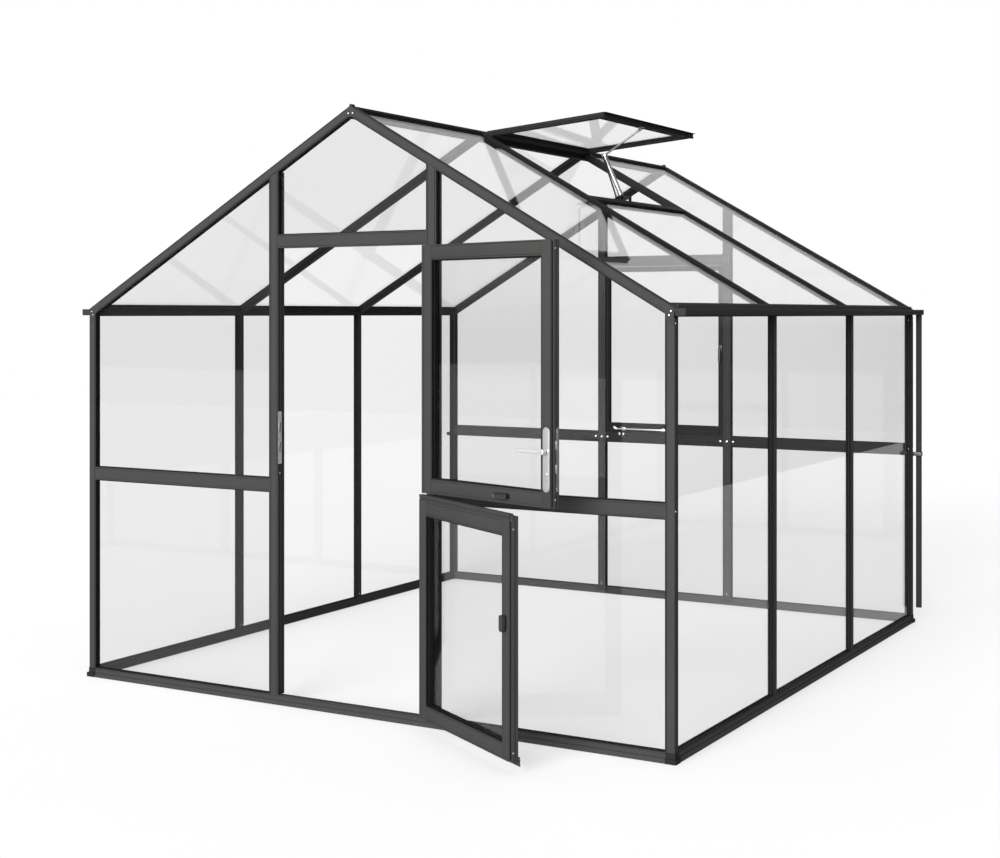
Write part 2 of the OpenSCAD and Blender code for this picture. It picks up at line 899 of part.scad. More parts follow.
module lower_leaf_frame() {
    color("#3c3f42") swung(lower_open) difference() {
        union() {
            leaf_frame(lower_z0, lower_z1);
            box([leaf_x0, 0, lower_z1 - 1], [leaf_x1, leaf_t, lower_z1 + outer_up]);
            box([leaf_x0 + step_w, 12, lower_z1 - 1], [leaf_x1, leaf_t + inner_t, lower_z1 + strip_h]);
            box([leaf_x0, -drip_out, lower_z0 + 1], [leaf_x1, 0, lower_z0 + 13]);
            box([leaf_x0, -drip_out, lower_z0 - drip_down],
                [leaf_x1, 3 - drip_out, lower_z0 + 2]);
        }
        spindle_bore(lower_turn_x, lower_turn_z);
    }
}

module lower_leaf_glass() {
    color("#cfd8d8", 0.4) swung(lower_open) leaf_pane(lower_z0, lower_z1, 0);
}

module lower_turn_knob() {
    face = leaf_t + inner_t;
    color("#1c1d1e") swung(lower_open) translate([lower_turn_x, face, lower_turn_z]) {
        rotate([90, 0, 0]) translate([0, 0, -6]) cylinder(h = 16, r = spindle_r);
        for (z = [-18, 18])
            translate([0, 22, z]) rotate([90, 0, 0]) cylinder(h = 16, r = 11);
        box([-11, 6, -18], [11, 22, 18]);
    }
}

front_sill();
rear_sill();
side_sills();
sill_corner_caps();
front_corner_posts();
rear_corner_posts();
left_wall_bars();
right_wall_bars();
door_posts();
rear_mullions();
door_lintel();
rear_transom();
front_mid_rails();
rear_mid_rails();
eaves_beams();
ridge_beam();
front_rafters();
rear_rafters();
left_roof_bars();
right_roof_bars();
vent_sill_bar();
left_wall_glass();
right_wall_glass();
front_wall_glass();
front_gable_glass();
rear_wall_glass();
rear_gable_glass();
left_roof_glass();
right_roof_glass();
roof_vent_frame();
roof_vent_glass();
vent_opener();
rear_window_frame();
rear_window_glass();
rear_window_stay();
rear_window_handle();
gutters();
downpipes();
pipe_clips();
corner_brackets();
strike_plate();
door_hinges();
upper_leaf_frame();
upper_leaf_glass();
upper_leaf_lock();
lever_handle();
upper_turn_knob();
lower_leaf_frame();
lower_leaf_glass();
lower_turn_knob();
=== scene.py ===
import bpy
import json
import math
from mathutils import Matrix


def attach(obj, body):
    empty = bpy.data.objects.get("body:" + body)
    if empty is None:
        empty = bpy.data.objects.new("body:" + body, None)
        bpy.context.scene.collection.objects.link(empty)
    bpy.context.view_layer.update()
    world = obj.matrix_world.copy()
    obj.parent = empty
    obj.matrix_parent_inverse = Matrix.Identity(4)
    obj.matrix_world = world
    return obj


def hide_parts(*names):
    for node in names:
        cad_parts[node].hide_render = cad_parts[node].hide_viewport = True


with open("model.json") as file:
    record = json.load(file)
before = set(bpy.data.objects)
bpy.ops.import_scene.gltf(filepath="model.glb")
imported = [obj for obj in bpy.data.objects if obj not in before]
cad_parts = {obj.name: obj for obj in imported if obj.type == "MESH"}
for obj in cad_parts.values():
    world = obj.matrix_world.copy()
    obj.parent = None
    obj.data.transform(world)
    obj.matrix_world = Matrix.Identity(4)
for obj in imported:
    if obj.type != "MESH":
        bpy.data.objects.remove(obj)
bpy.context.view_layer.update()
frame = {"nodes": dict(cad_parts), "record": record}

# Sizes in metres, in the CAD frame: x along the front, y back, z up
house = {
    "half": 1.385, "depth": 3.015, "sillTop": 0.038, "barDepth": 0.030, "postDepth": 0.043,
    "postNear": 0.356, "postFar": 0.398, "postMiddle": 0.377, "cornerPost": 0.034,
    "mullionRows": (1.005, 2.010), "mullionHalf": 0.015, "railLow": 0.858, "railHigh": 0.912,
    "railMiddle": 0.885, "lintelLow": 1.843, "lintelHigh": 1.897, "beamLow": 1.571,
    "eaves": 1.600, "pitch": 29.9, "rafter": 0.034, "ridgeHalf": 0.018, "roofGlass": 0.009,
}
half, depth, barD, sillTop = (house[key] for key in ("half", "depth", "barDepth", "sillTop"))
postNear, postFar, postMiddle = house["postNear"], house["postFar"], house["postMiddle"]
postDepth, beamLow = house["postDepth"], house["beamLow"]
cornerX, inner = half - house["cornerPost"], depth - barD
pitch = math.radians(house["pitch"])
innerX = half - barD


def roofZ(x):
    return house["eaves"] + (half - abs(x)) * math.tan(pitch)


def underZ(x):
    return roofZ(x) - house["rafter"] / math.cos(pitch)


# Modelling steps

def onlySelect(piece):
    if bpy.context.object and bpy.context.object.mode != "OBJECT":
        bpy.ops.object.mode_set(mode="OBJECT")
    bpy.ops.object.select_all(action="DESELECT")
    piece.select_set(True)
    bpy.context.view_layer.objects.active = piece


def applyPlace(piece):
    onlySelect(piece)
    bpy.ops.object.transform_apply(location=True, rotation=True, scale=True)
    return piece


def tiltPiece(piece, tilt):
    piece.rotation_euler = tilt["turn"]
    piece.location = tilt["move"]
    return applyPlace(piece)


def addBlock(name, low, high):
    bpy.ops.object.select_all(action="DESELECT")
    bpy.ops.mesh.primitive_cube_add(size=1, location=[(a + b) / 2 for a, b in zip(low, high)],
                                    scale=[b - a for a, b in zip(low, high)])
    piece = bpy.context.object
    piece.name = name
    return applyPlace(piece)


# A rod from one point to another; sides is the number of faces round it
def addRod(name, start, end, radius, sides=24):
    run = [b - a for a, b in zip(start, end)]
    length = math.sqrt(sum(r * r for r in run))
    turn = (0, math.acos(run[2] / length), math.atan2(run[1], run[0]))
    bpy.ops.object.select_all(action="DESELECT")
    bpy.ops.mesh.primitive_cylinder_add(vertices=sides, radius=radius, depth=length, rotation=turn,
                                        location=[(a + b) / 2 for a, b in zip(start, end)])
    piece = bpy.context.object
    piece.name = name
    return applyPlace(piece)


def leaveEdit():
    bpy.ops.object.mode_set(mode="OBJECT")


# Selects nothing in edit mode, then leaves it, ready for new selections of one kind
def clearPicks(piece, kind):
    onlySelect(piece)
    bpy.ops.object.mode_set(mode="EDIT")
    bpy.ops.mesh.select_mode(type=kind)
    bpy.ops.mesh.select_all(action="DESELECT")
    leaveEdit()


# Leaves the piece in edit mode with only the chosen faces selected
def pickFaces(piece, chosen):
    clearPicks(piece, "FACE")
    for face in piece.data.polygons:
        face.select = bool(chosen(face.center, face.normal))
    found = any(face.select for face in piece.data.polygons)
    bpy.ops.object.mode_set(mode="EDIT")
    return found


def pickPoints(piece, chosen):
    clearPicks(piece, "VERT")
    for point in piece.data.vertices:
        point.select = bool(chosen(point.co))
    bpy.ops.object.mode_set(mode="EDIT")


def faceOutward():
    bpy.ops.mesh.select_all(action="SELECT")
    bpy.ops.mesh.normals_make_consistent(inside=False)
    leaveEdit()


def pushFaces(piece, chosen, move):
    if pickFaces(piece, chosen):
        bpy.ops.mesh.extrude_region_move(TRANSFORM_OT_translate={"value": move})
    leaveEdit()


def slidePoints(piece, chosen, move):
    pickPoints(piece, chosen)
    bpy.ops.transform.translate(value=move)
    leaveEdit()


# Splits the piece along a plane; drop also throws away what is on the normal's side
def slicePlane(piece, point, normal, drop=False):
    onlySelect(piece)
    bpy.ops.object.mode_set(mode="EDIT")
    bpy.ops.mesh.select_all(action="SELECT")
    bpy.ops.mesh.bisect(plane_co=point, plane_no=normal, use_fill=drop, clear_outer=drop)
    leaveEdit()


def sliceAcross(piece, axis, level):
    slicePlane(piece, [level] * 3, [float(i == axis) for i in range(3)])


def softenEdges(piece, width, segments=2, angle=35):
    onlySelect(piece)
    bevel = piece.modifiers.new("edges", "BEVEL")
    bevel.width = width
    bevel.segments = segments
    bevel.limit_method = "ANGLE"
    bevel.angle_limit = math.radians(angle)
    bpy.ops.object.modifier_apply(modifier=bevel.name)
    bpy.ops.object.shade_smooth_by_angle(angle=math.radians(50))
    return piece


def joinPieces(name, pieces):
    onlySelect(pieces[0])
    for piece in pieces:
        piece.select_set(True)
    bpy.ops.object.join()
    joined = bpy.context.object
    joined.name = name
    return joined


def softRod(name, start, end, radius, sides=24, soft=0.0008, segments=2):
    return softenEdges(addRod(name, start, end, radius, sides), soft, segments)


# A block with its edges along one axis rounded, and then all its edges softened
def roundBlock(name, low, high, axis, radius, segments, soft, steps=2):
    piece = roundEdges(addBlock(name, low, high), alongAxis(axis), radius, segments)
    return softenEdges(piece, soft, steps)


def copyOf(piece, name, move=(0, 0, 0), turn=(0, 0, 0), scale=(1, 1, 1)):
    onlySelect(piece)
    bpy.ops.object.duplicate(linked=False)
    twin = bpy.context.object
    twin.name = name
    twin.scale = scale
    return tiltPiece(twin, {"turn": turn, "move": move})


# A copy on the other side of a plane square to one axis
def mirrorOf(piece, name, axis, about=0.0):
    scale, move = [1, 1, 1], [0, 0, 0]
    scale[axis], move[axis] = -1, 2 * about
    twin = copyOf(piece, name, move, scale=scale)
    bpy.ops.object.mode_set(mode="EDIT")
    faceOutward()
    return twin


# Puts the mirrored copy in the piece's place
def flipPiece(piece, axis, about=0.0):
    name = piece.name
    twin = mirrorOf(piece, name, axis, about)
    bpy.data.objects.remove(piece)
    twin.name = name
    return twin


# A flat plate from its outline, given as points across two axes, and its thickness
def addPlate(name, outline, flat, start, stop, edge=0.0006):
    axes = [i for i in range(3) if i != flat]
    bpy.ops.object.select_all(action="DESELECT")
    turn = ((0, math.pi / 2, 0), (math.pi / 2, 0, 0), (0, 0, 0))[flat]
    bpy.ops.mesh.primitive_circle_add(vertices=len(outline), radius=1, fill_type="NGON",
                                      rotation=turn)
    piece = bpy.context.object
    piece.name = name
    applyPlace(piece)
    for index, spot in enumerate(outline):
        clearPicks(piece, "VERT")
        point = piece.data.vertices[index]
        point.select = True
        target = [start, start, start]
        target[axes[0]], target[axes[1]] = spot
        bpy.ops.object.mode_set(mode="EDIT")
        bpy.ops.transform.translate(value=[t - c for t, c in zip(target, point.co)])
        leaveEdit()
    thickness = [0, 0, 0]
    thickness[flat] = stop - start
    pickFaces(piece, lambda center, normal: True)
    bpy.ops.mesh.extrude_region_move(TRANSFORM_OT_translate={"value": thickness})
    faceOutward()
    return softenEdges(piece, edge)


# Rounds the edges that are chosen by their two ends
def roundEdges(piece, chosen, radius, segments=6):
    clearPicks(piece, "EDGE")
    points = piece.data.vertices
    for line in piece.data.edges:
        line.select = bool(chosen(points[line.vertices[0]].co, points[line.vertices[1]].co))
    bpy.ops.object.mode_set(mode="EDIT")
    bpy.ops.mesh.bevel(offset=radius, segments=segments, affect="EDGES")
    leaveEdit()
    return piece


# Edges that run along one axis
def alongAxis(axis):
    return lambda a, b: all(abs(a[i] - b[i]) < 1e-6 for i in range(3) if i != axis)


axisVectors = {"x": (1, 0, 0), "y": (0, 1, 0), "z": (0, 0, 1)}


def sideVector(side):
    return [(-1 if side[0] == "-" else 1) * v for v in axisVectors[side[1]]]


# Pushes a strip of one side of a bar in or out; low and high are measured across the bar
def shapeStrip(piece, side, along, low, high, amount, ends):
    out = sideVector(side)
    across = next(i for i in range(3) if i != along and not out[i])
    for level in (low, high):
        sliceAcross(piece, across, level)

    def chosen(center, normal):
        return (sum(n * o for n, o in zip(normal, out)) > 0.9
                and low < center[across] < high and ends[0] < center[along] < ends[1])
    pushFaces(piece, chosen, [o * amount for o in out])


# The section of a fine line. A bar is made with spare length at both ends; its strips stop short
# of that, and the spare is then cut off.
lineCut = {"wide": 0.0022, "deep": 0.0034}
barEnds = {"spare": 0.006, "strip": 0.004}


# A straight extruded bar. Strips are (side, low, high, amount) with low and high from the bar's
# own low corner, or (side, middle) for a fine line. Ends are planes (point, normal) that cut it
# after it is tilted.
def addBar(name, low, high, strips=(), ends=None, tilt=None, along=None, edge=0.0005, slides=()):
    if along is None:
        along = max(range(3), key=lambda i: high[i] - low[i])
    first, last = list(low), list(high)
    first[along] -= barEnds["spare"]
    last[along] += barEnds["spare"]
    piece = addBlock(name, first, last)
    reach = (low[along] - barEnds["strip"], high[along] + barEnds["strip"])
    for limit in reach:
        sliceAcross(piece, along, limit)
    for side, start, *more in strips:
        across = next(i for i in range(3) if i != along and not sideVector(side)[i])
        stop, amount = more or (start + lineCut["wide"] / 2, -lineCut["deep"])
        start -= 0 if more else lineCut["wide"] / 2
        shapeStrip(piece, side, along, low[across] + start, low[across] + stop, amount, reach)
    for chosen, move in slides:
        slidePoints(piece, chosen, move)
    if ends is None:
        for corner, way in ((low, -1), (high, 1)):
            normal = [0, 0, 0]
            normal[along] = way
            slicePlane(piece, corner, normal, drop=True)
    if tilt:
        tiltPiece(piece, tilt)
    for point, normal in ends or ():
        slicePlane(piece, point, normal, drop=True)
    return softenEdges(piece, edge)


# A flat ring, such as a gasket: a slab whose middle is taken out
def addRing(name, low, high, flat, width, cuts=(), edge=0.0006, tilt=None):
    piece = addBlock(name, low, high)
    for point, normal in cuts:
        slicePlane(piece, point, normal, drop=True)
    pickFaces(piece, lambda center, normal: abs(normal[flat]) > 0.9)
    bpy.ops.mesh.inset(thickness=width, use_individual=True)
    bpy.ops.mesh.bridge_edge_loops()
    leaveEdit()
    if tilt:
        tiltPiece(piece, tilt)
    return softenEdges(piece, edge)


# Shader tools

class Wire:
    def __init__(self, tree, socket):
        self.tree = tree
        self.socket = socket

    def calculate(self, operation, first, second):
        node = self.tree.nodes.new("ShaderNodeMath")
        node.operation = operation
        for slot, value in zip(node.inputs, (first, second)):
            if isinstance(value, Wire):
                self.tree.links.new(value.socket, slot)
            else:
                slot.default_value = value
        return Wire(self.tree, node.outputs[0])

    def __add__(self, other):
        return self.calculate("ADD", self, other)

    def __sub__(self, other):
        return self.calculate("SUBTRACT", self, other)

    def __mul__(self, other):
        return self.calculate("MULTIPLY", self, other)

    def __pow__(self, other):
        return self.calculate("POWER", self, other)

    __radd__ = __add__
    __rmul__ = __mul__


class Finish:
    def __init__(self, name):
        self.material = bpy.data.materials.new(name)
        self.material.use_nodes = True
        self.tree = self.material.node_tree
        self.tree.nodes.clear()
        self.place = self.node("TexCoord", wanted="Object")

    # Adds a node of a type with its settings, then its socket values or links
    def node(self, kind, settings=None, sockets=None, wanted=0):
        node = self.tree.nodes.new("ShaderNode" + kind)
        for key, value in (settings or {}).items():
            if key == "stops":
                for element, (position, colour) in zip(node.color_ramp.elements, value):
                    element.position = position
                    element.color = colour
            else:
                setattr(node, key, value)
        for key, value in (sockets or {}).items():
            if isinstance(value, Wire):
                self.tree.links.new(value.socket, node.inputs[key])
            else:
                node.inputs[key].default_value = value
        return Wire(self.tree, node.outputs[wanted]) if node.outputs else node

    def noise(self, scale, detail=2.0, stretch=(1, 1, 1)):
        point = self.node("Mapping", sockets={"Vector": self.place, "Scale": stretch})
        return self.node("TexNoise", sockets={"Vector": point, "Scale": scale, "Detail": detail})

    def blend(self, amount, first, second):
        return self.node("Mix", {"data_type": "RGBA"}, {0: amount, 6: first, 7: second}, wanted=2)

    def finishWith(self, shader):
        self.node("OutputMaterial", sockets={"Surface": shader})
        return self.material


def grey(value, warm=0.0):
    return (value * (1 + warm), value, value * (1 - warm), 1)


coatLook = {"dark": 0.019, "light": 0.025, "dust": 0.032, "warm": 0.02, "roughness": 0.5,
            "grainScale": 1400, "grain": 0.00008}


def makeCoat(name="anthraciteCoat", shade=1.0):
    finish = Finish(name)
    cloud = finish.noise(2.3, 3.0)
    grain = finish.noise(coatLook["grainScale"], 3.0)
    up = finish.node("SeparateXYZ", sockets={"Vector": finish.node("NewGeometry", wanted="Normal")},
                     wanted=2)
    settled = finish.node("Clamp", sockets={"Value": up * finish.noise(9, 4.0) * 0.5})
    colour = finish.blend(cloud, grey(coatLook["dark"] * shade, coatLook["warm"]),
                          grey(coatLook["light"] * shade, coatLook["warm"]))
    colour = finish.blend(settled, colour, grey(coatLook["dust"] * shade))
    bump = finish.node("Bump", sockets={"Strength": 0.5, "Distance": coatLook["grain"],
                                        "Height": grain})
    return finish.finishWith(finish.node("BsdfPrincipled", sockets={
        "Base Color": colour, "Roughness": coatLook["roughness"] + 0.14 * cloud - 0.07,
        "Specular IOR Level": 0.006, "Normal": bump}))


rubberLook = {"dark": 0.003, "light": 0.006, "roughness": 0.62, "shine": 0.03, "cloud": (14, 4.0),
              "grain": (900, 0.4, 0.0001)}
plasticLook = {"dark": 0.004, "light": 0.008, "roughness": 0.45, "shine": 0.4, "cloud": (20, 3.0),
               "grain": (1100, 0.5, 0.00012)}


def makeBlack(name, look):
    finish = Finish(name)
    cloud = finish.noise(*look["cloud"])
    scale, strength, distance = look["grain"]
    bump = finish.node("Bump", sockets={"Strength": strength, "Distance": distance,
                                        "Height": finish.noise(scale, 2.0)})
    return finish.finishWith(finish.node("BsdfPrincipled", sockets={
        "Base Color": finish.blend(cloud, grey(look["dark"]), grey(look["light"])),
        "Roughness": look["roughness"] + 0.2 * cloud - 0.1,
        "Specular IOR Level": look["shine"], "Normal": bump}))


steelLook = {"dark": 0.30, "light": 0.40, "roughness": 0.34}


# Satin metal: fine brush lines run along z
def makeSteel(name="satinSteel", shade=1.0):
    finish = Finish(name)
    lines = finish.noise(700, 3.0, stretch=(1, 1, 0.04))
    cloud = finish.noise(18, 3.0)
    bump = finish.node("Bump", sockets={"Strength": 0.25, "Distance": 0.00006, "Height": lines})
    return finish.finishWith(finish.node("BsdfPrincipled", sockets={
        "Base Color": finish.blend(lines, grey(steelLook["dark"] * shade),
                                   grey(steelLook["light"] * shade)),
        "Metallic": 0.85, "Roughness": steelLook["roughness"] + 0.16 * cloud - 0.08,
        "Normal": bump}))


glassLook = {"tint": (0.949, 0.950, 0.949, 1), "mirror": (0.97, 0.98, 0.98, 1), "faceOn": 0.02}


# A clear pane: light goes straight through, and more is mirrored at a grazing angle
def makeGlass():
    finish = Finish("clearGlass")
    facing = finish.node("LayerWeight", sockets={"Blend": 0.5}, wanted="Facing")
    film = finish.noise(1.7, 3.0)
    mirrored = glassLook["faceOn"] + (0.46 + 0.02 * film) * facing ** 5
    ripple = finish.node("Bump", sockets={"Strength": 0.02, "Distance": 0.0002,
                                          "Height": finish.noise(2.2, 1.0)})
    clear = finish.node("BsdfTransparent", sockets={"Color": glassLook["tint"]})
    glossy = finish.node("BsdfGlossy", sockets={"Color": glassLook["mirror"], "Roughness": 0.0,
                                                "Normal": ripple})
    return finish.finishWith(finish.node("MixShader", sockets={0: mirrored, 1: clear, 2: glossy}))


def makeFloor():
    finish = Finish("paleFloor")
    cloud = finish.noise(1.1, 3.0)
    return finish.finishWith(finish.node("BsdfPrincipled", sockets={
        "Base Color": finish.blend(cloud, grey(0.30), grey(0.31)), "Roughness": 0.8,
        "Specular IOR Level": 0.1, "Emission Color": grey(1.0), "Emission Strength": 0.46}))


coat = makeCoat()
rubber, plastic = makeBlack("blackRubber", rubberLook), makeBlack("blackPlastic", plasticLook)
# Shaded copies of the coat: the dark one is the colour of the black caps and spring rod, and
# painted shade on the rear window frame and joint plates; the gutter one is painted shade on the
# gutters and downpipes
darkAndShadedCoat, shadedGutterCoat = makeCoat("darkAndShadedCoat", 0.45), makeCoat("shadedGutterCoat", 0.75)
# Coat with painted shade for the ridge, the vent and the right roof slope
shadedRoofCoat = makeCoat("shadedRoofCoat", 0.5)
steel, clearGlass = makeSteel(), makeGlass()
# Steel copies: the lever one is lightened with painted light for the lever and rail screws, the
# opener one is darkened with painted shade
paintedLitSteel, shadedOpenerSteel = makeSteel("paintedLitSteel", 1.5), makeSteel("shadedOpenerSteel", 0.5)
# Coat with painted shade for the rear mid rails
shadedInnerCoat = makeCoat("shadedInnerCoat", 0.6)
slotFinishes = {"anthracite_coat": coat, "clear_glass": clearGlass, "satin_steel": steel,
                "black_plastic": plastic}
print("finishes made")


def setFinish(piece, material):
    piece.data.materials.clear()
    piece.data.materials.append(material)


# Gives a piece its finish and its body, and hides the CAD nodes that it stands for
def place(piece, material, *replaces, body="house", slot=None):
    setFinish(piece, material)
    for face in piece.data.polygons:
        face.material_index = 0
    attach(piece, body)
    if replaces:
        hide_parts(*replaces)
    return piece


def placeCoat(piece, *replaces, body="house"):
    return place(piece, coat, *replaces, body=body)


for part in frame["record"]["subparts"]:
    setFinish(frame["nodes"][part["node"]], slotFinishes[part["material_slot"]])

def both(piece, name, axis, about=0.0):
    twin = mirrorOf(piece, name, axis, about)
    return [piece, twin]


def frontRear(name, pieces):
    rear = [mirrorOf(piece, "rear", 1, depth / 2) for piece in pieces]
    return joinPieces(name[0], pieces), joinPieces(name[1], rear)


rightSlope = (math.sin(pitch), 0, math.cos(pitch))
leftSlope = (-rightSlope[0], 0, rightSlope[2])
slopeTilt = {"turn": (0, pitch, 0), "move": (0, 0, roofZ(0))}
bays = ((barD, 0.990), (1.020, 1.995), (2.025, inner))

# Sills: a sloping drip lip, a groove over it, a line under the top edge, and a groove inside
sill = {"lip": 0.007, "lipLow": 0.005, "lipHigh": 0.015, "outerGroove": (0.0155, 0.0190, -0.0045),
        "topLine": (0.0325, 0.0347, -0.0030), "innerGroove": (0.0200, 0.0240, -0.0020)}


def addSill(name, low, high, outer):
    inward = {"-y": "+y", "+y": "-y", "+x": "-x"}[outer]
    axis = "xyz".index(outer[1])
    sign = sum(sideVector(outer))
    strips = [(outer, 0, sill["lipHigh"], sill["lip"]), (outer,) + sill["outerGroove"],
              (outer,) + sill["topLine"], (inward,) + sill["innerGroove"]]
    face = high[axis] if sign > 0 else low[axis]
    nose = (lambda spot: (spot[axis] - face) * sign > sill["lip"] - 0.0005 and spot[2] > 0.014,
            (0, 0, sill["lipLow"] - sill["lipHigh"]))      # lowers the outer edge of the lip
    return addBar(name, low, high, strips, slides=[nose])


placeCoat(addSill("frontSill", (-half, 0, 0), (half, barD, sillTop), "-y"), "front_sill")
placeCoat(addSill("rearSill", (-half, inner, 0), (half, depth, sillTop), "+y"), "rear_sill")
placeCoat(joinPieces("sideSills", both(
    addSill("rightSill", (innerX, barD, 0), (half, inner, sillTop), "+x"), "leftSill", 0)),
    "side_sills")

# Corner caps wrap the corners of the sills; their foot stands out past the lips
cap = {"arm": 0.034, "out": 0.002, "foot": 0.007, "footHigh": 0.017, "round": 0.0035}
corner = addBlock("cornerCap", (half - cap["arm"], -cap["out"], 0), (half + cap["out"], 0, sillTop))
slicePlane(corner, (half, 0, 0), (1, 0, 0))
pushFaces(corner, lambda center, normal: normal[1] > 0.9 and center[0] > half, (0, cap["arm"], 0))
slicePlane(corner, (0, 0, cap["footHigh"]), (0, 0, 1))
pushFaces(corner, lambda center, normal: normal[1] < -0.9 and center[2] < cap["footHigh"],
          (0, -cap["foot"], 0))
pushFaces(corner, lambda center, normal: normal[0] > 0.9 and center[2] < cap["footHigh"],
          (cap["foot"], 0, 0))
roundEdges(corner, lambda a, b: alongAxis(2)(a, b) and a[0] > half + 0.0005 and a[1] < -0.0005,
           cap["round"])
softenEdges(corner, 0.0009)
caps = both(corner, "leftCap", 0)
caps += [mirrorOf(piece, "rearCap", 1, depth / 2) for piece in caps]
cornerCaps = joinPieces("sillCornerCaps", caps)
place(cornerCaps, darkAndShadedCoat, "sill_corner_caps", slot="black_plastic")
print("sills made")

# Wall bars: grooves are (side, from, to, depth) measured from the bar's low corner
wallBars = {
    "corner": [("-y", 0.0038), ("-x", 0.0085, 0.0110, -0.0025),
               ("-x", 0.0170, 0.0195, -0.0025), ("+x", 0.01725),
               ("+x", 0.0046), ("+y", 0.007)],
    "door": [("-x", 0.0105, 0.0140, -0.0045), ("-x", 0.0270, 0.0305, -0.0045),
             ("-x", 0.035), ("-y", 0.00505),
             ("-y", 0.03555), ("+x", 0.0180, 0.0205, -0.0025),
             ("+y", 0.0080, 0.0110, -0.0020), ("+y", 0.0310, 0.0340, -0.0020)],
    "rearPost": [("+y", 0.00505), ("+y", 0.03695),
                 ("-y", 0.0070, 0.0100, -0.0030), ("-y", 0.01925),
                 ("-y", 0.0320, 0.0350, -0.0030), ("-x", 0.0060, 0.0090, -0.0025),
                 ("+x", 0.0060, 0.0090, -0.0025)],
    "mullion": [("+x", 0.00565), ("+x", 0.02435),
                ("-x", 0.0060, 0.0090, -0.0030), ("-x", 0.0210, 0.0240, -0.0030),
                ("-y", 0.0050, 0.0075, -0.0025), ("+y", 0.0050, 0.0075, -0.0025)],
}


def sloped(x):
    return ((x, 0, underZ(x) - 0.00002), rightSlope)


def addPost(name, low, high, strips):
    return addBar(name, low, high, strips, ends=[((0, 0, sillTop), (0, 0, -1)), sloped(high[0])])


front, rear = frontRear(("frontCornerPosts", "rearCornerPosts"), both(
    addPost("cornerPost", (cornerX, 0, sillTop), (half, barD, 1.68), wallBars["corner"]),
    "leftPost", 0))
placeCoat(front, "front_corner_posts")
placeCoat(rear, "rear_corner_posts")
placeCoat(joinPieces("doorPosts", both(
    addPost("doorPost", (postNear, 0, sillTop), (postFar, postDepth, 2.2), wallBars["door"]),
    "leftPost", 0)),
    "door_posts")
placeCoat(joinPieces("rearMullions", both(
    addPost("rearPost", (postNear, inner, sillTop), (postFar, depth, 2.2), wallBars["rearPost"]),
    "leftPost", 0)), "rear_mullions")
barHalf = house["mullionHalf"]
for name, node in (("rightWallBars", "right_wall_bars"), ("leftWallBars", "left_wall_bars")):
    bars = [addBar("wallBar", (half - 0.027, y - barHalf, sillTop), (half, y + barHalf, beamLow),
                   wallBars["mullion"]) for y in house["mullionRows"]]
    bars = joinPieces(name, bars)
    placeCoat(bars if name == "rightWallBars" else flipPiece(bars, 0), node)

# Rails across the front and rear walls
rails = {
    "mid": [("-y", 0.0056), ("-y", 0.0484),
            ("+y", 0.0070, 0.0100, -0.0030), ("+y", 0.0440, 0.0470, -0.0030),
            ("+y", 0.0186), ("+y", 0.0354),
            ("+z", 0.0180, 0.0205, -0.0025), ("-z", 0.0180, 0.0205, -0.0025)],
    "lintel": [("-y", 0.0056), ("-y", 0.0484),
               ("+y", 0.0070, 0.0100, -0.0030), ("+y", 0.0440, 0.0470, -0.0030),
               ("-z", 0.0070, 0.0100, -0.0040), ("-z", 0.0200, 0.0230, -0.0040)],
}
low, high = house["railLow"], house["railHigh"]
sideRails = both(addBar("midRail", (postFar, 0, low), (cornerX, barD, high), rails["mid"]),
                 "leftRail", 0)
front, rear = frontRear(("frontMidRails", "rearSideRails"), sideRails)
placeCoat(front, "front_mid_rails")
middle = addBar("rearMiddleRail", (-postNear, 0, low), (postNear, barD, high), rails["mid"])
middle = flipPiece(middle, 1, depth / 2)
# The rear mid rails take the coat with painted shade
place(joinPieces("rearMidRails", [rear, middle]), shadedInnerCoat, "rear_mid_rails")
lintel = addBar("doorLintel", (-postNear, 0, house["lintelLow"]),
                (postNear, barD, house["lintelHigh"]),
                rails["lintel"])
transom = mirrorOf(lintel, "rearTransom", 1, depth / 2)
placeCoat(lintel, "door_lintel")
placeCoat(transom, "rear_transom")
print("wall bars made")

# Eaves beams: a raised edge stands over the roof surface
eavesBeam = {"top": roofZ(half - 0.004), "grooves": [
    ("+x", 0.00525), ("+x", 0.02375),
    ("-x", 0.0070, 0.0100, -0.0030), ("-x", 0.0250, 0.0280, -0.0025),
    ("-z", 0.0060, 0.0085, -0.0020), ("-z", 0.0190, 0.0215, -0.0030)]}
top = eavesBeam["top"]
beam = addBar("eavesBeam", (innerX, barD, beamLow), (half, inner, top),
              [("+z", 0.026, 0.030, 1.613 - top)] + eavesBeam["grooves"], along=1,
              slides=[(lambda spot: spot[0] < innerX + 0.0001 and abs(spot[2] - top) < 0.0001,
                       (0, 0, roofZ(innerX) - top))])
placeCoat(joinPieces("eavesBeams", both(beam, "leftBeam", 0)), "eaves_beams")

# Ridge beam: a cap line over a side groove
ridge = {"half": 0.018, "deep": 0.038, "grooves": [
    ("+x", 0.03335), ("-x", 0.03335), ("+x", 0.0080, 0.0110, -0.0030),
    ("-x", 0.0080, 0.0110, -0.0030), ("-z", 0.0080, 0.0105, -0.0025),
    ("-z", 0.0255, 0.0280, -0.0025)]}
shoulder = roofZ(ridge["half"])
ridgeBeam = addBar("ridgeBeam", (-0.018, barD, shoulder - ridge["deep"]), (0.018, inner, shoulder),
                   ridge["grooves"] + [("+z", 0.0175, 0.0185, 0.0)], along=1,
                   slides=[(lambda spot: abs(spot[0]) < 0.0006 and spot[2] > shoulder - 0.0001,
                            (0, 0, roofZ(0) - shoulder))])
place(ridgeBeam, shadedRoofCoat, "ridge_beam")

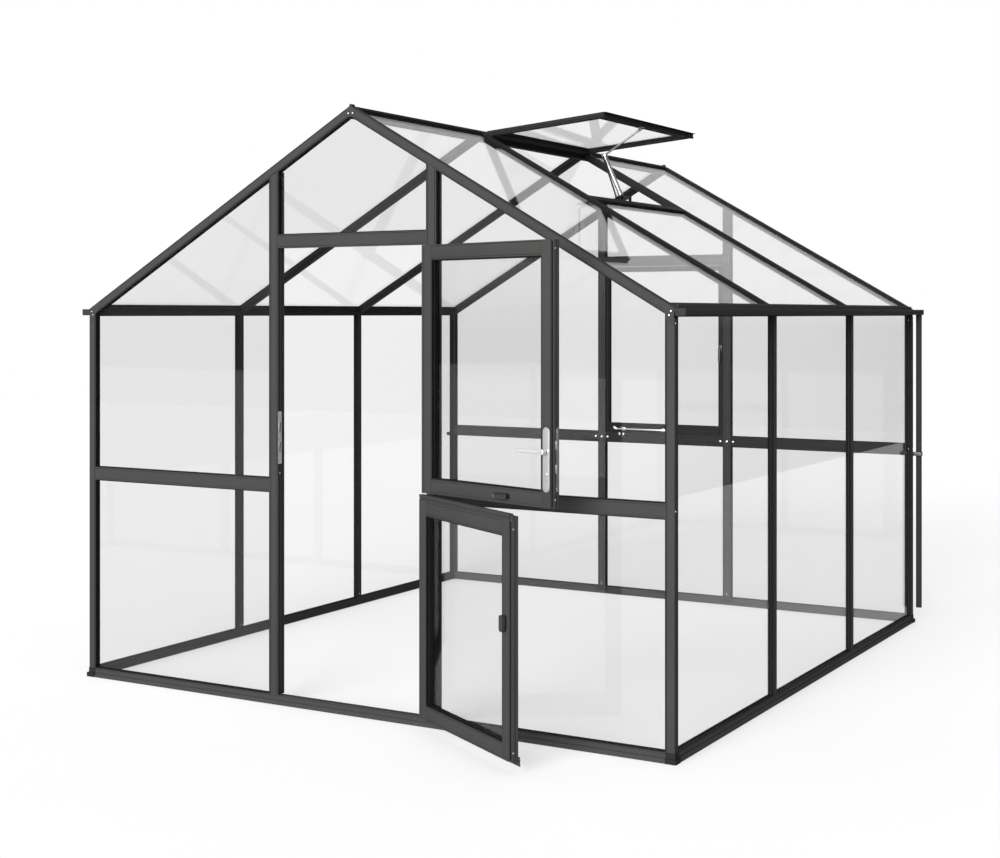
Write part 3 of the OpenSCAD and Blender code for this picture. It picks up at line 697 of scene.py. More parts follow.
# Rafters and roof bars are made level and then tilted into the slope
roofBars = {
    "rafter": [("-y", 0.03055), ("-y", 0.00355),
               ("+y", 0.0060, 0.0085, -0.0025), ("-z", 0.0060, 0.0085, -0.0025),
               ("-z", 0.0180, 0.0205, -0.0025), ("+z", 0.00565)],
    "bar": [("+z", 0.00665), ("+z", 0.02335),
            ("-z", 0.0060, 0.0090, -0.0030), ("-z", 0.0210, 0.0240, -0.0030),
            ("-y", 0.0060, 0.0085, -0.0025), ("+y", 0.0060, 0.0085, -0.0025)],
}
slopeEnd = half / math.cos(pitch)
slopeGap = house["rafter"]
rafter = addBar("rafter", (0, 0, -slopeGap), (slopeEnd, barD, 0), roofBars["rafter"],
                tilt=slopeTilt,
                ends=[((half, 0, 0), (1, 0, 0)), ((0.00015, 0, 0), (-1, 0, 0))])
front, rear = frontRear(("frontRafters", "rearRafters"), both(rafter, "leftRafter", 0))
placeCoat(front, "front_rafters")
placeCoat(rear, "rear_rafters")
# The right roof bars take the coat with painted shade, the left ones the plain coat
for name, node, finish in (("rightRoofBars", "right_roof_bars", shadedRoofCoat),
                           ("leftRoofBars", "left_roof_bars", coat)):
    bars = [addBar("roofBar", (0, y - barHalf, -slopeGap), (slopeEnd, y + barHalf, 0),
                   roofBars["bar"], tilt=slopeTilt,
                   ends=[((innerX, 0, 0), (1, 0, 0)), ((house["ridgeHalf"], 0, 0), (-1, 0, 0))])
            for y in house["mullionRows"]]
    bars = joinPieces(name, bars)
    place(bars if finish is shadedRoofCoat else flipPiece(bars, 0), finish, node)
ventSill = {"start": 0.5335, "wide": 0.028}
cosP = math.cos(pitch)
sillBar = addBar("ventSillBar", (ventSill["start"] / cosP, 1.020, -slopeGap),
                 ((ventSill["start"] + ventSill["wide"]) / cosP, 1.995, 0),
                 [("+z", 0.00565), ("-z", 0.0050, 0.0075, -0.0025)], along=1,
                 tilt=slopeTilt)
place(sillBar, shadedRoofCoat, "vent_sill_bar")
print("roof bars made")

# Rubber gaskets hold every pane on both faces: "in" and "wide" are their section
gasket = {"wide": 0.0034, "outer": (0.0006, 0.0120), "inner": (0.0160, 0.0262), "roofWide": 0.0036}
gaskets = []


# One ring on each face of a pane that stands across y or x
def wallGasket(low, high, flat, sign=1, cuts=()):
    base = low[flat]
    for near, far in (gasket["outer"], gasket["inner"]):
        first, last = list(low), list(high)
        ends = sorted((base + sign * near, base + sign * far))
        first[flat], last[flat] = ends
        gaskets.append(addRing("gasket", first, last, flat, gasket["wide"], cuts, edge=0.0004))


gableTop = [((0, 0, underZ(0)), rightSlope), ((0, 0, underZ(0)), leftSlope)]
for y, sign in ((0, 1), (depth, -1)):
    start = len(gaskets)
    wallGasket((postFar, y, sillTop), (cornerX, y, house["railLow"]), 1, sign)
    wallGasket((postFar, y, house["railHigh"]), (cornerX, y, underZ(postFar)), 1, sign,
               [((0, 0, underZ(0)), rightSlope)])
    for ring in gaskets[start:]:
        gaskets.append(mirrorOf(ring, "gasket", 0))
    wallGasket((-postNear, y, house["lintelHigh"]), (postNear, y, underZ(0)), 1, sign, gableTop)
wallGasket((-postNear, depth, sillTop), (postNear, depth, house["railLow"]), 1, -1)


def roofRings(first, last, begin):
    return [addRing("roofGasket", (begin / cosP, first, low), (innerX / cosP, last, high), 2,
                    gasket["roofWide"], edge=0.0004, tilt=slopeTilt)
            for low, high in ((-house["roofGlass"], -0.0006), (-0.0320, -0.0130))]


start = len(gaskets)
for first, last in bays:
    wallGasket((half, first, sillTop), (half, last, beamLow), 0, -1)
    if (first, last) != bays[1]:
        gaskets += roofRings(first, last, house["ridgeHalf"])
for ring in gaskets[start:]:
    gaskets.append(mirrorOf(ring, "gasket", 0))
# In the middle bay the right pane starts below the vent
gaskets += [flipPiece(ring, 0) for ring in roofRings(*bays[1], house["ridgeHalf"])]
gaskets += roofRings(*bays[1], ventSill["start"] + ventSill["wide"])
place(joinPieces("paneGaskets", gaskets), rubber)

# A thin rubber edge shows along the top of each gable rafter
edgeStrip = addBar("rafterEdge", (0.010, 0.004, -0.0002), (slopeEnd, 0.0085, 0.0016),
                   tilt=slopeTilt,
                   ends=[((half - 0.012, 0, 0), (1, 0, 0)), ((0.016, 0, 0), (-1, 0, 0))],
                   edge=0.0004)
edges = both(edgeStrip, "leftEdge", 0)
edges += [mirrorOf(piece, "rearEdge", 1, depth / 2) for piece in edges]
place(joinPieces("rafterEdges", edges), rubber)
print("gaskets made")

# Screws: one is modelled facing -y and copied; faces gives its place and the way it points
screwLook = {"radius": 0.0033, "high": 0.0014, "deep": 0.0009}
pattern = addRod("screw", (0, 0.0012, 0), (0, -screwLook["high"], 0), screwLook["radius"], 16)
roundEdges(pattern, lambda a, b: a[1] < 0 and b[1] < 0 and abs(a[1] - b[1]) < 1e-6, 0.0007, 2)
pickFaces(pattern, lambda center, normal: normal[1] < -0.95)
bpy.ops.mesh.inset(thickness=0.0012)
bpy.ops.mesh.extrude_region_move(TRANSFORM_OT_translate={"value": (0, screwLook["deep"], 0)})
leaveEdit()
bpy.ops.object.shade_smooth_by_angle(angle=math.radians(40))
quarter = math.pi / 2
facing = {"-y": (0, 0, 0), "+y": (0, 0, 2 * quarter), "+x": (0, 0, quarter), "-x": (0, 0, -quarter),
          "+z": (quarter * -1, 0, 0), "-z": (quarter, 0, 0)}


def screws(name, faces, size=1.0):
    return joinPieces(name, [copyOf(pattern, "screw", spot, facing[way], (size, size, size))
                             for spot, way in faces])


# Corner and apex plates, flush with the rafters, each with two screws
corners = {"thick": 0.0015, "arm": 0.024}
x0 = cornerX
arm = x0 - corners["arm"]
eavesPlate = addPlate("eavesPlate", [
    (x0, underZ(x0) - 0.024), (half - 0.002, underZ(half) - 0.024),
    (half - 0.002, roofZ(half) - 0.010),
    (half - 0.005, roofZ(half) - 0.0045), (half - 0.010, roofZ(half - 0.010) - 0.003),
    (arm, roofZ(arm) - 0.003), (arm, underZ(arm) + 0.002), (x0 - 0.007, underZ(x0 - 0.007)),
    (x0, underZ(x0) - 0.007)], 1, -corners["thick"], 0)
apexPlate = addPlate("apexPlate", [
    (-0.024, roofZ(0.024) - 0.003), (-0.004, roofZ(0.004) - 0.003), (0.004, roofZ(0.004) - 0.003),
    (0.024, roofZ(0.024) - 0.003), (0.024, underZ(0.024) + 0.002), (0.009, underZ(0.009)),
    (-0.009, underZ(0.009)), (-0.024, underZ(0.024) + 0.002)], 1, -corners["thick"], 0)
plates = both(eavesPlate, "leftPlate", 0) + [apexPlate]
plates += [mirrorOf(piece, "rearPlate", 1, depth / 2) for piece in plates]
placeCoat(joinPieces("cornerBrackets", plates), "corner_brackets")
bump = addRod("apexBump", (0, 0.002, roofZ(0) + 0.0005), (0, 0.026, roofZ(0) + 0.0005), 0.0065, 20)
bumps = [bump, mirrorOf(bump, "rearBump", 1, depth / 2)]
for piece in bumps:
    softenEdges(piece, 0.0012)
placeCoat(joinPieces("apexCaps", bumps))

cornerScrews = [((0.012, -0.0015, 2.366), "-y"), ((-0.009, -0.0015, 2.366), "-y")]
for side in (-1, 1):
    cornerScrews += [((side * (half - 0.014), -0.0015, 1.588), "-y"),
                     ((side * (half - 0.021), -0.0015, 1.573), "-y")]
cornerScrews += [((x, depth - y, z), "+y") for (x, y, z), way in cornerScrews]
# Inside faces of the rear wall, and the outer faces of the side walls
railScrews = []
for side in (-1, 1):
    for dx in (-0.037, 0, 0.037):
        railScrews.append(((side * postMiddle + dx, inner, house["railMiddle"]), "-y"))
    for dx, z in ((-0.011, 1.871), (0.011, 1.886), (0.011, 1.856), (0.0, 2.075), (0.0, 0.058)):
        cornerScrews.append(((side * (postMiddle + dx), inner, z), "-y"))
        cornerScrews.append(((side * (postMiddle + dx), postDepth, z), "+y"))
    for z in (house["railMiddle"], 1.545):
        cornerScrews.append(((side * half, 0.009, z), "+x" if side > 0 else "-x"))
        cornerScrews.append(((side * half, depth - 0.009, z), "+x" if side > 0 else "-x"))
        cornerScrews.append(((side * (half - 0.017), inner, z), "-y"))
        cornerScrews.append(((side * (half - 0.017), barD, z), "+y"))
    for y in house["mullionRows"]:
        for z in (0.058, 1.586):
            cornerScrews.append(((side * (half - (0.027 if z < 1 else 0.030)), y, z),
                                 "-x" if side > 0 else "+x"))
place(screws("frameScrews", cornerScrews), steel)
place(screws("railScrews", railScrews, 1.6), paintedLitSteel)

# Joint plates lie on the sills where the rear posts stand
joints = [addBlock("joint", (side * postMiddle - 0.036, y, 0.016),
                   (side * postMiddle + 0.036, y + 0.0015, 0.036))
          for side in (-1, 1) for y in (inner - 0.0015, barD)]
for piece in joints:
    softenEdges(roundEdges(piece, alongAxis(1), 0.004, 4), 0.0004)
place(joinPieces("jointPlates", joints), darkAndShadedCoat)
print("brackets and screws made")

# Roof vent, modelled flat with its hinge along y at the origin and then raised
vent = {"open": 5, "long": 0.590, "start": 1.022, "stop": 1.993, "rail": 0.040}
ventTilt = {"turn": (0, -math.radians(vent["open"]), 0),
            "move": (house["ridgeHalf"], 0, roofZ(house["ridgeHalf"]) - 0.012)}


def ventSide(name, low, high, strips):
    return addBar(name, low, high, strips, tilt=ventTilt, edge=0.0008)


sideLines = [("+z", 0.00665), ("-z", 0.0050, 0.0075, -0.0020)]
y0, y1, longV, railV = vent["start"], vent["stop"], vent["long"], vent["rail"]
ventBars = [
    ventSide("ventNear", (0.007, y0, -0.002), (longV, y0 + railV, 0.020), sideLines +
             [("-y", 0.007), ("-z", 0.0320, 0.0345, -0.0020)]),
    ventSide("ventFar", (0.007, y1 - railV, -0.002), (longV, y1, 0.020), sideLines +
             [("+y", 0.007), ("-z", 0.0320, 0.0345, -0.0020)]),
    ventSide("ventFree", (longV - railV, y0 + railV, -0.002), (longV, y1 - railV, 0.020),
             [("+x", 0.007), ("-z", 0.0050, 0.0075, -0.0020),
              ("-z", 0.0290, 0.0315, -0.0020), ("+z", 0.03265)]),
    ventSide("ventHinge", (0.007, y0 + railV, -0.002), (0.007 + railV, y1 - railV, 0.020),
             [("-z", 0.0290, 0.0315, -0.0020), ("+z", 0.00565)]),
    ventSide("ventWeb", (0.0, y0, -0.002), (0.008, y1, 0.002), []),
    ventSide("ventDrip", (longV - 0.006, y0, -0.0055), (longV, y1, -0.0015), [])]
ventBars.append(ventSide("ventFlange", (longV - 0.001, y0, 0.0162),
                         (longV + 0.010, y1 + 0.004, 0.0188), []))
bead = addRod("ventBead", (0.018, y0, ventTilt["move"][2]), (0.018, y1, ventTilt["move"][2]),
              0.004, 20)
softenEdges(bead, 0.0008)
ventBars.append(bead)
place(joinPieces("roofVentFrame", ventBars), shadedRoofCoat, "roof_vent_frame")
ventRings = [addRing("ventGasket", (0.007 + railV, y0 + railV, low),
                     (longV - railV, y1 - railV, low + 0.0018),
                     2, 0.0045, edge=0.0004, tilt=ventTilt) for low in (0.0060, 0.0122)]
place(joinPieces("ventGaskets", ventRings), rubber)
ventEnds = []
for y, out in ((y0, -1), (y1, 1)):
    piece = roundBlock("hingeEnd", (0.008, min(y, y + out * 0.0018), -0.007),
                       (0.038, max(y, y + out * 0.0018), 0.012), 1, 0.006, 4, 0.0004)
    ventEnds.append(tiltPiece(piece, ventTilt))
place(joinPieces("ventHingeEnds", ventEnds), darkAndShadedCoat)

# Automatic opener: arm, elbow, cylinder with collars, and a black spring rod beside it
opener = {"y": 1.4405, "arm": 0.0046, "cylinder": 0.0105, "knuckle": 0.011}
sillX = ventSill["start"]
foot = (sillX - 0.043, roofZ(sillX) + 0.017)
elbow = (foot[0] - 0.089, foot[1] + 0.196)
reach = longV - railV / 2
ventCos, ventSin = math.cos(math.radians(vent["open"])), math.sin(math.radians(vent["open"]))
tip = (house["ridgeHalf"] + reach * ventCos + 0.002 * ventSin,
       ventTilt["move"][2] + reach * ventSin - 0.002 * ventCos - 0.008)
oy = opener["y"]


def tube(name, a, b, radius, sides=24, soft=0.001, y=oy, part=(0.0, 1.0)):
    start = (a[0] + (b[0] - a[0]) * part[0], y, a[1] + (b[1] - a[1]) * part[0])
    stop = (a[0] + (b[0] - a[0]) * part[1], y, a[1] + (b[1] - a[1]) * part[1])
    return softRod(name, start, stop, radius, sides, soft)


def crossRod(name, spot, wide, radius, soft=0.0012):
    return softRod(name, (spot[0], oy - wide / 2, spot[1]), (spot[0], oy + wide / 2, spot[1]),
                   radius, 24, soft)


bright = [tube("arm", tip, elbow, opener["arm"]), tube("armCollar", tip, elbow, 0.0062,
                                                       part=(0.0, 0.07)),
          crossRod("elbowKnuckle", elbow, 0.018, opener["knuckle"]),
          crossRod("elbowPin", elbow, 0.026, 0.004), crossRod("tipPin", (tip[0], tip[1] + 0.001),
                                                              0.022, 0.004)]
plate = roundBlock("topPlate", (reach - 0.018, oy - 0.014, -0.005),
                   (reach + 0.018, oy + 0.014, -0.002), 2, 0.005, 4, 0.0005)
bright.append(tiltPiece(plate, ventTilt))
bright += [tube("cylinder", elbow, foot, opener["cylinder"], 32, part=(0.05, 0.94)),
           tube("upperCollar", elbow, foot, 0.0120, 32, part=(0.04, 0.11)),
           tube("middleCollar", elbow, foot, 0.0112, 32, part=(0.48, 0.50)),
           tube("lowerCollar", elbow, foot, 0.0120, 32, part=(0.86, 0.95))]
place(joinPieces("openerMetal", bright), shadedOpenerSteel, "vent_opener")
springTop = (elbow[0], oy - 0.013, elbow[1] - 0.004)
springFoot = (foot[0] - 0.010, oy - 0.038, foot[1])
dark = [softRod("springRod", springTop, springFoot, 0.0036, 20, 0.0008),
        softRod("springPin", (foot[0] - 0.010, oy - 0.043, foot[1]),
                (foot[0] - 0.010, oy + 0.004, foot[1]), 0.0040, 20, 0.0008),
        crossRod("footKnuckle", foot, 0.024, 0.013)]
shoe = addBlock("footBracket", (foot[0], oy - 0.012, foot[1] - 0.010),
                (sillX, oy + 0.012, foot[1] + 0.006))
slicePlane(shoe, (sillX - 0.004, 0, 0), (1, 0, 0))
pushFaces(shoe, lambda center, normal: normal[2] < -0.9 and center[0] > sillX - 0.004,
          (0, 0, roofZ(sillX) - 0.030 - (foot[1] - 0.010)))
dark.append(softenEdges(shoe, 0.0012))
place(joinPieces("openerFoot", dark), darkAndShadedCoat)
print("vent and opener made")

# Rear casement window: slim stiles, a deep bottom rail and a gasket on both faces of the pane
window = {"x": 0.354, "low": 0.9123, "high": 1.841, "side": 0.026, "bottom": 0.050,
          "front": depth - 0.028, "back": depth - 0.002}
wx, wl, wh, ws, wb = (window[key] for key in ("x", "low", "high", "side", "bottom"))
wf, wk = window["front"], window["back"]
stileLines = [("-y", 0.02065), ("-y", 0.00465),
              ("+y", 0.00465)]
sash = both(addBar("windowStile", (wx - ws, wf, wl), (wx, wk, wh), stileLines), "leftStile", 0)
sash += [addBar("windowBottom", (-wx + ws, wf, wl), (wx - ws, wk, wl + wb),
                [("-y", 0.007), ("-y", 0.04065),
                 ("-y", 0.03065)]),
         addBar("windowTop", (-wx + ws, wf, wh - ws), (wx - ws, wk, wh), stileLines)]
# The rear window frame takes the dark coat as painted shade
place(joinPieces("rearWindowFrame", sash), darkAndShadedCoat, "rear_window_frame")
sashRings = [addRing("windowGasket", (-wx + ws, y, wl + wb), (wx - ws, y + 0.0018, wh - ws), 1,
                     0.0035,
                     edge=0.0004) for y in (depth - 0.0178, depth - 0.0118)]
place(joinPieces("windowGaskets", sashRings), rubber)

# Window stay: a flat bar in two lugs, with a hook at its free end and a pair of hooked catches
stay = {"low": wl + 0.016, "high": wl + 0.024, "lugs": (-0.240, 0.0)}
bars = []
flat = addBlock("stayBar", (-0.280, wf - 0.009, stay["low"]), (0.020, wf - 0.005, stay["high"]))
roundEdges(flat, lambda a, b: alongAxis(1)(a, b) and a[0] > 0, 0.0038, 5)
softenEdges(flat, 0.0006)
bars.append(flat)
hook = addPlate("stayHook", [(-0.280, stay["low"]), (-0.280, stay["high"]),
                             (-0.296, stay["high"] + 0.010),
                             (-0.302, stay["high"] + 0.010), (-0.302, stay["high"] + 0.004),
                             (-0.297, stay["low"] + 0.002), (-0.288, stay["low"])], 1, wf - 0.009,
                             wf - 0.005)
bars.append(hook)
for x in stay["lugs"]:
    lug = addBlock("lug", (x - 0.012, wf - 0.005, wl + 0.012), (x + 0.012, wf, wl + 0.028))
    roundEdges(lug, alongAxis(1), 0.004, 4)
    bars.append(softenEdges(lug, 0.0006))
    bars.append(softRod("stayPeg", (x, wf - 0.012, wl + 0.020), (x, wf - 0.004, wl + 0.020), 0.003,
                        16, 0.0008))
bars += [roundBlock("catch", (x - 0.004, wf - 0.012, wl - 0.016),
                    (x + 0.004, wf - 0.002, wl - 0.001), 1, 0.003, 3,
                    0.0006) for x in (-0.262, -0.238)]
place(joinPieces("rearWindowStay", bars), steel, "rear_window_stay")

handleX, handleZ = wx - ws / 2, 1.385
base = roundBlock("handleBase", (handleX - 0.010, wf - 0.005, handleZ - 0.022),
                  (handleX + 0.010, wf, handleZ + 0.022), 1, 0.008, 5, 0.001)
neck = softRod("handleNeck", (handleX, wf - 0.020, handleZ), (handleX, wf - 0.004, handleZ),
               0.0055, 20, 0.0008)
grip = roundBlock("handleGrip", (handleX - 0.006, wf - 0.024, handleZ - 0.070),
                  (handleX + 0.006, wf - 0.015, handleZ + 0.006), 1, 0.0052, 5, 0.0018, 3)
place(joinPieces("rearWindowHandle", [base, neck, grip]), plastic, "rear_window_handle")
print("rear window made")

# Gutters: a trough with rolled edges and an end cap at each end
gutter = {"wide": 0.042, "high": 0.027, "wall": 0.0026, "low": 1.571, "over": 0.048, "roll": 0.0022}
g0, g1 = 0.0016, depth + gutter["over"] - 0.0016
gx0, gx1 = half + 0.0002, half + gutter["wide"] - 0.0008
gTop = gutter["low"] + gutter["high"] - 0.001
trough = addBlock("gutter", (gx0, g0, gutter["low"] + 0.0006), (gx1, g1, gTop))
pickFaces(trough, lambda center, normal: normal[2] > 0.9)
bpy.ops.mesh.inset(thickness=gutter["wall"])
troughDeep = gutter["high"] - gutter["wall"] - 0.0016
bpy.ops.mesh.extrude_region_move(TRANSFORM_OT_translate={"value": (0, 0, -troughDeep)})
leaveEdit()
roundEdges(trough, lambda a,
           b: alongAxis(1)(a, b) and a[2] < gutter["low"] + 0.001 and a[0] > gx1 - 0.001,
           0.006, 4)
softenEdges(trough, 0.0005)
roll = addRod("gutterRoll", (gx1 - gutter["roll"], g0 + 0.002, gTop - 0.0012),
              (gx1 - gutter["roll"], g1 - 0.002, gTop - 0.0012), gutter["roll"], 16)
softenEdges(roll, 0.0004)
lineBar = addBar("gutterLine", (gx1 - 0.0004, g0 + 0.004, gutter["low"] + 0.0125),
                 (gx1 + 0.0006, g1 - 0.004, gutter["low"] + 0.0145), along=1, edge=0.0003)
parts = [trough, roll, lineBar]
for start in (0.0, g1 - 0.004):
    shut = addBlock("gutterCap", (half + 0.0002, start, gutter["low"]),
                    (half + gutter["wide"], start + 0.0056, gutter["low"] + gutter["high"]))
    roundEdges(shut, lambda a,
               b: alongAxis(1)(a, b) and a[2] < gutter["low"] + 0.001 and a[0] > gx1 - 0.001,
               0.006, 4)
    parts.append(softenEdges(shut, 0.0008))
trough = joinPieces("gutter", parts)
place(joinPieces("gutters", both(trough, "leftGutter", 0)), shadedGutterCoat, "gutters")

# Downpipes: a tube with a socket under the gutter and a bead at its foot
pipe = {"x": half + 0.021, "y": depth + 0.030, "foot": 0.072}


def addTube(name, low, high, radius, wall, sides=32):
    piece = addRod(name, (pipe["x"], pipe["y"], low), (pipe["x"], pipe["y"], high), radius, sides)
    pickFaces(piece, lambda center, normal: abs(normal[2]) > 0.9)
    bpy.ops.mesh.inset(thickness=wall, use_individual=True)
    bpy.ops.mesh.bridge_edge_loops()
    leaveEdit()
    return softenEdges(piece, 0.0005)


tubes = [addTube("pipe", pipe["foot"], 1.571, 0.0146, 0.0018),
         addTube("socket", 1.535, 1.5712, 0.0150, 0.0022),
         addTube("footBead", pipe["foot"], pipe["foot"] + 0.006, 0.0150, 0.0022)]
place(joinPieces("downpipes", both(joinPieces("downpipe", tubes), "leftPipe", 0)), shadedGutterCoat,
      "downpipes")

# Pipe clips: a band with ears, a stand-off and a strap on the wall
clip = {"z": 0.860, "high": 0.020, "radius": 0.0185}
px, py, cz = pipe["x"], pipe["y"], clip["z"]
band = addTube("clipBand", cz - clip["high"] / 2, cz + clip["high"] / 2, clip["radius"], 0.0032)
strap = addBlock("clipStrap", (px - 0.045, depth, cz - 0.010),
                 (px + 0.021, depth + 0.003, cz + 0.010))
roundEdges(strap, alongAxis(1), 0.005, 4)
stand = addBlock("clipStand", (px - 0.006, depth + 0.001, cz - 0.0085),
                 (px + 0.006, py - 0.0155, cz + 0.0085))
ear = addBlock("clipEar", (px - 0.0235, py - 0.006, cz - 0.008),
               (px - 0.0165, py + 0.006, cz + 0.008))
clipParts = [band] + [softenEdges(piece, 0.0012) for piece in (strap, stand, ear)]
clipPiece = joinPieces("pipeClip", clipParts)
place(joinPieces("pipeClips", both(clipPiece, "leftClip", 0)), plastic, "pipe_clips")
clipScrews = [((side * (px + dx), depth + 0.003, cz), "+y") for side in (-1, 1) for dx in (-0.036,
                                                                                           0.015)]
clipScrews += [((side * px, py - clip["radius"], cz), "-y") for side in (-1, 1)]
place(screws("clipScrews", clipScrews), steel)
print("gutters and pipes made")

# Door leaves are modelled shut and then swung about the hinge line
door = {"left": -0.351, "right": 0.351, "stile": 0.056, "outer": 0.025, "full": 0.032,
        "step": 0.012,
        "hinge": (0.368, -0.012), "upperOpen": 163, "lowerOpen": 149,
        "upperLow": 0.901, "upperHigh": 1.838, "lowerLow": 0.049, "lowerHigh": 0.875}
left, right, stileW, full = door["left"], door["right"], door["stile"], door["full"]
hx, hy = door["hinge"]
upperSpan = (door["upperLow"], door["upperHigh"])
lowerSpan = (door["lowerLow"], door["lowerHigh"])


def swing(piece, angle):
    turn = math.radians(angle)
    move = (hx - hx * math.cos(turn) + hy * math.sin(turn),
            hy - hx * math.sin(turn) - hy * math.cos(turn), 0)
    return tiltPiece(piece, {"turn": (0, 0, turn), "move": move})


# Grooves run beside the glass on both faces, and in the reveal
def leafBars(z0, z1):
    free = addBar("freeStile", (left, 0, z0), (left + stileW, door["outer"], z1), [
        ("+y", door["step"], stileW, full - door["outer"]), ("-y", 0.05055),
        ("-x", 0.01075), ("+x", 0.00475)])
    hinge = addBar("hingeStile", (right - stileW, 0, z0), (right, full, z1), [
        ("+y", 0.00545), ("+y", 0.04455), ("-y", 0.00545),
        ("+x", 0.02475), ("-x", 0.00475)])
    lines = [("+y", 0.05045), ("+y", 0.00655),
             ("-y", 0.05045), ("-z", 0.011)]
    foot = addBar("footRail", (left + stileW, 0, z0), (right - stileW, full, z0 + stileW), lines)
    lines = [("+y", 0.00545), ("+y", 0.04945),
             ("-y", 0.00545), ("+z", 0.011)]
    head = addBar("headRail", (left + stileW, 0, z1 - stileW), (right - stileW, full, z1), lines)
    return [free, hinge, foot, head]


# The leaf's knuckle, its strap on the leaf, and the pin's hole shown as a ring
hinges = {"radius": 0.009, "pin": 0.004, "high": 0.028, "gap": 0.0003, "inset": 0.095}


def hingeHeights(span):
    return (span[0] + hinges["inset"], span[1] - hinges["inset"])


def knuckleOf(z0):
    piece = addRod("knuckle", (hx, hy, z0), (hx, hy, z0 + hinges["high"]), hinges["radius"], 32)
    pickFaces(piece, lambda center, normal: abs(normal[2]) > 0.9)
    bpy.ops.mesh.inset(thickness=hinges["radius"] - hinges["pin"] - 0.00005, use_individual=True)
    bpy.ops.mesh.bridge_edge_loops()
    leaveEdit()
    return softenEdges(piece, 0.0006)


def leafHinge(z):
    z0 = z + hinges["gap"] / 2
    strap = addPlate("leafStrap", [(right - 0.044, -0.004), (hx - 0.0075, -0.004),
                                   (hx - 0.0075, -0.0012),
                                   (right, -0.0012), (right, 0.0), (right - 0.044, 0.0)], 2, z0,
                     z0 + hinges["high"], edge=0.0007)
    return [knuckleOf(z0), strap]


def fixedHinge(z):
    z0 = z - hinges["high"] - hinges["gap"] / 2
    strap = addBlock("fixedStrap", (hx, -0.004, z0), (0.394, 0, z0 + hinges["high"]))
    roundEdges(strap, lambda a, b: alongAxis(1)(a, b) and a[0] > 0.39, 0.005, 4)
    softenEdges(strap, 0.0007)
    pin = softRod("hingePin", (hx, hy, z0), (hx, hy, z0 + 2 * hinges["high"] + 0.0003),
                  hinges["pin"], 20, 0.0007)
    return [knuckleOf(z0), strap, pin]


fixed = []
for z in hingeHeights(upperSpan) + hingeHeights(lowerSpan):
    fixed += fixedHinge(z)
place(joinPieces("doorHinges", fixed), darkAndShadedCoat, "door_hinges")
hingeScrews = [((0.384, -0.004, z - 0.0145 + dz),
                "-y") for z in hingeHeights(upperSpan) + hingeHeights(lowerSpan)
               for dz in (-0.008, 0.008)]
place(screws("hingeScrews", hingeScrews), steel)


def leafScrews(name, span, extra=()):
    spots = [((right - 0.030, -0.004, z + 0.0145 + dz),
              "-y") for z in hingeHeights(span) for dz in (-0.008, 0.008)]
    spots += [((left, 0.0200, z), "-x") for z in (span[0] + 0.031, span[1] - 0.032)]
    return screws(name, spots + list(extra))


def leafRings(name, span):
    low, high = (left + stileW, 0, span[0] + stileW), (right - stileW, 0, span[1] - stileW)
    rings = [addRing("leafGasket", (low[0], y0, low[2]), (high[0], y1, high[2]), 1, wide,
                     edge=0.0005)
             for y0, y1, wide in ((0.0008, 0.0100, 0.0034), (0.0140, 0.0210, 0.0055),
                                  (0.0222, 0.0262, 0.0024), (0.0276, 0.0314, 0.0036))]
    seal = addRing("leafSeal", (left + 0.004, 0.0248, span[0] + 0.006),
                   (right - 0.003, 0.0275, span[1] - 0.006),
                   1, 0.0055, edge=0.0006)
    return joinPieces(name, rings + [seal])


upperFrame = joinPieces("upperLeafFrame", leafBars(*upperSpan) + [
    piece for z in hingeHeights(upperSpan) for piece in leafHinge(z)])
placeCoat(swing(upperFrame, door["upperOpen"]), "upper_leaf_frame", body="upper leaf")
place(swing(leafRings("upperLeafGaskets", upperSpan), door["upperOpen"]), rubber, body="upper leaf")
place(swing(leafScrews("upperLeafScrews", upperSpan), door["upperOpen"]), steel, body="upper leaf")

# Lower leaf: the outer layer and the sealing strip rise over the head rail, and a drip bar hangs
# at its foot
lower = leafBars(*lowerSpan)
rise = {"outer": 0.887, "strip": 0.895}
lower.append(addBar("outerRise", (left, 0, lowerSpan[1] - 0.001), (right, 0.0118, rise["outer"]),
                    [("+z", 0.0046)], along=0))
strip = addBar("topStrip", (left + door["step"], 0.0118, lowerSpan[1] - 0.001),
               (right, full, rise["strip"]),
               [("+y", 0.01055), ("+y", 0.0045),
                ("+z", 0.00975)], along=0)
lower.append(strip)
lower.append(addBar("outerStep", (left, 0.0116, lowerSpan[1] - 0.001),
                    (left + door["step"] + 0.001, door["outer"],
                                                                      rise["outer"]), along=0))
drip = addBar("dripBar", (left, -0.008, 0.050), (right, 0.0002, 0.062), [("-y", 0.0056)], along=0)
dripLip = addBar("dripLip", (left, -0.008, 0.030), (right, -0.005, 0.051), [("-y", 0.0126)],
                 along=0, edge=0.0006)
lower += [drip, dripLip]
lowerFrame = joinPieces("lowerLeafFrame", lower + [
    piece for z in hingeHeights(lowerSpan) for piece in leafHinge(z)])
placeCoat(swing(lowerFrame, door["lowerOpen"]), "lower_leaf_frame", body="lower leaf")
place(swing(leafRings("lowerLeafGaskets", lowerSpan), door["lowerOpen"]), rubber, body="lower leaf")
place(swing(leafScrews("lowerLeafScrews", lowerSpan), door["lowerOpen"]), steel, body="lower leaf")
print("door leaves made")

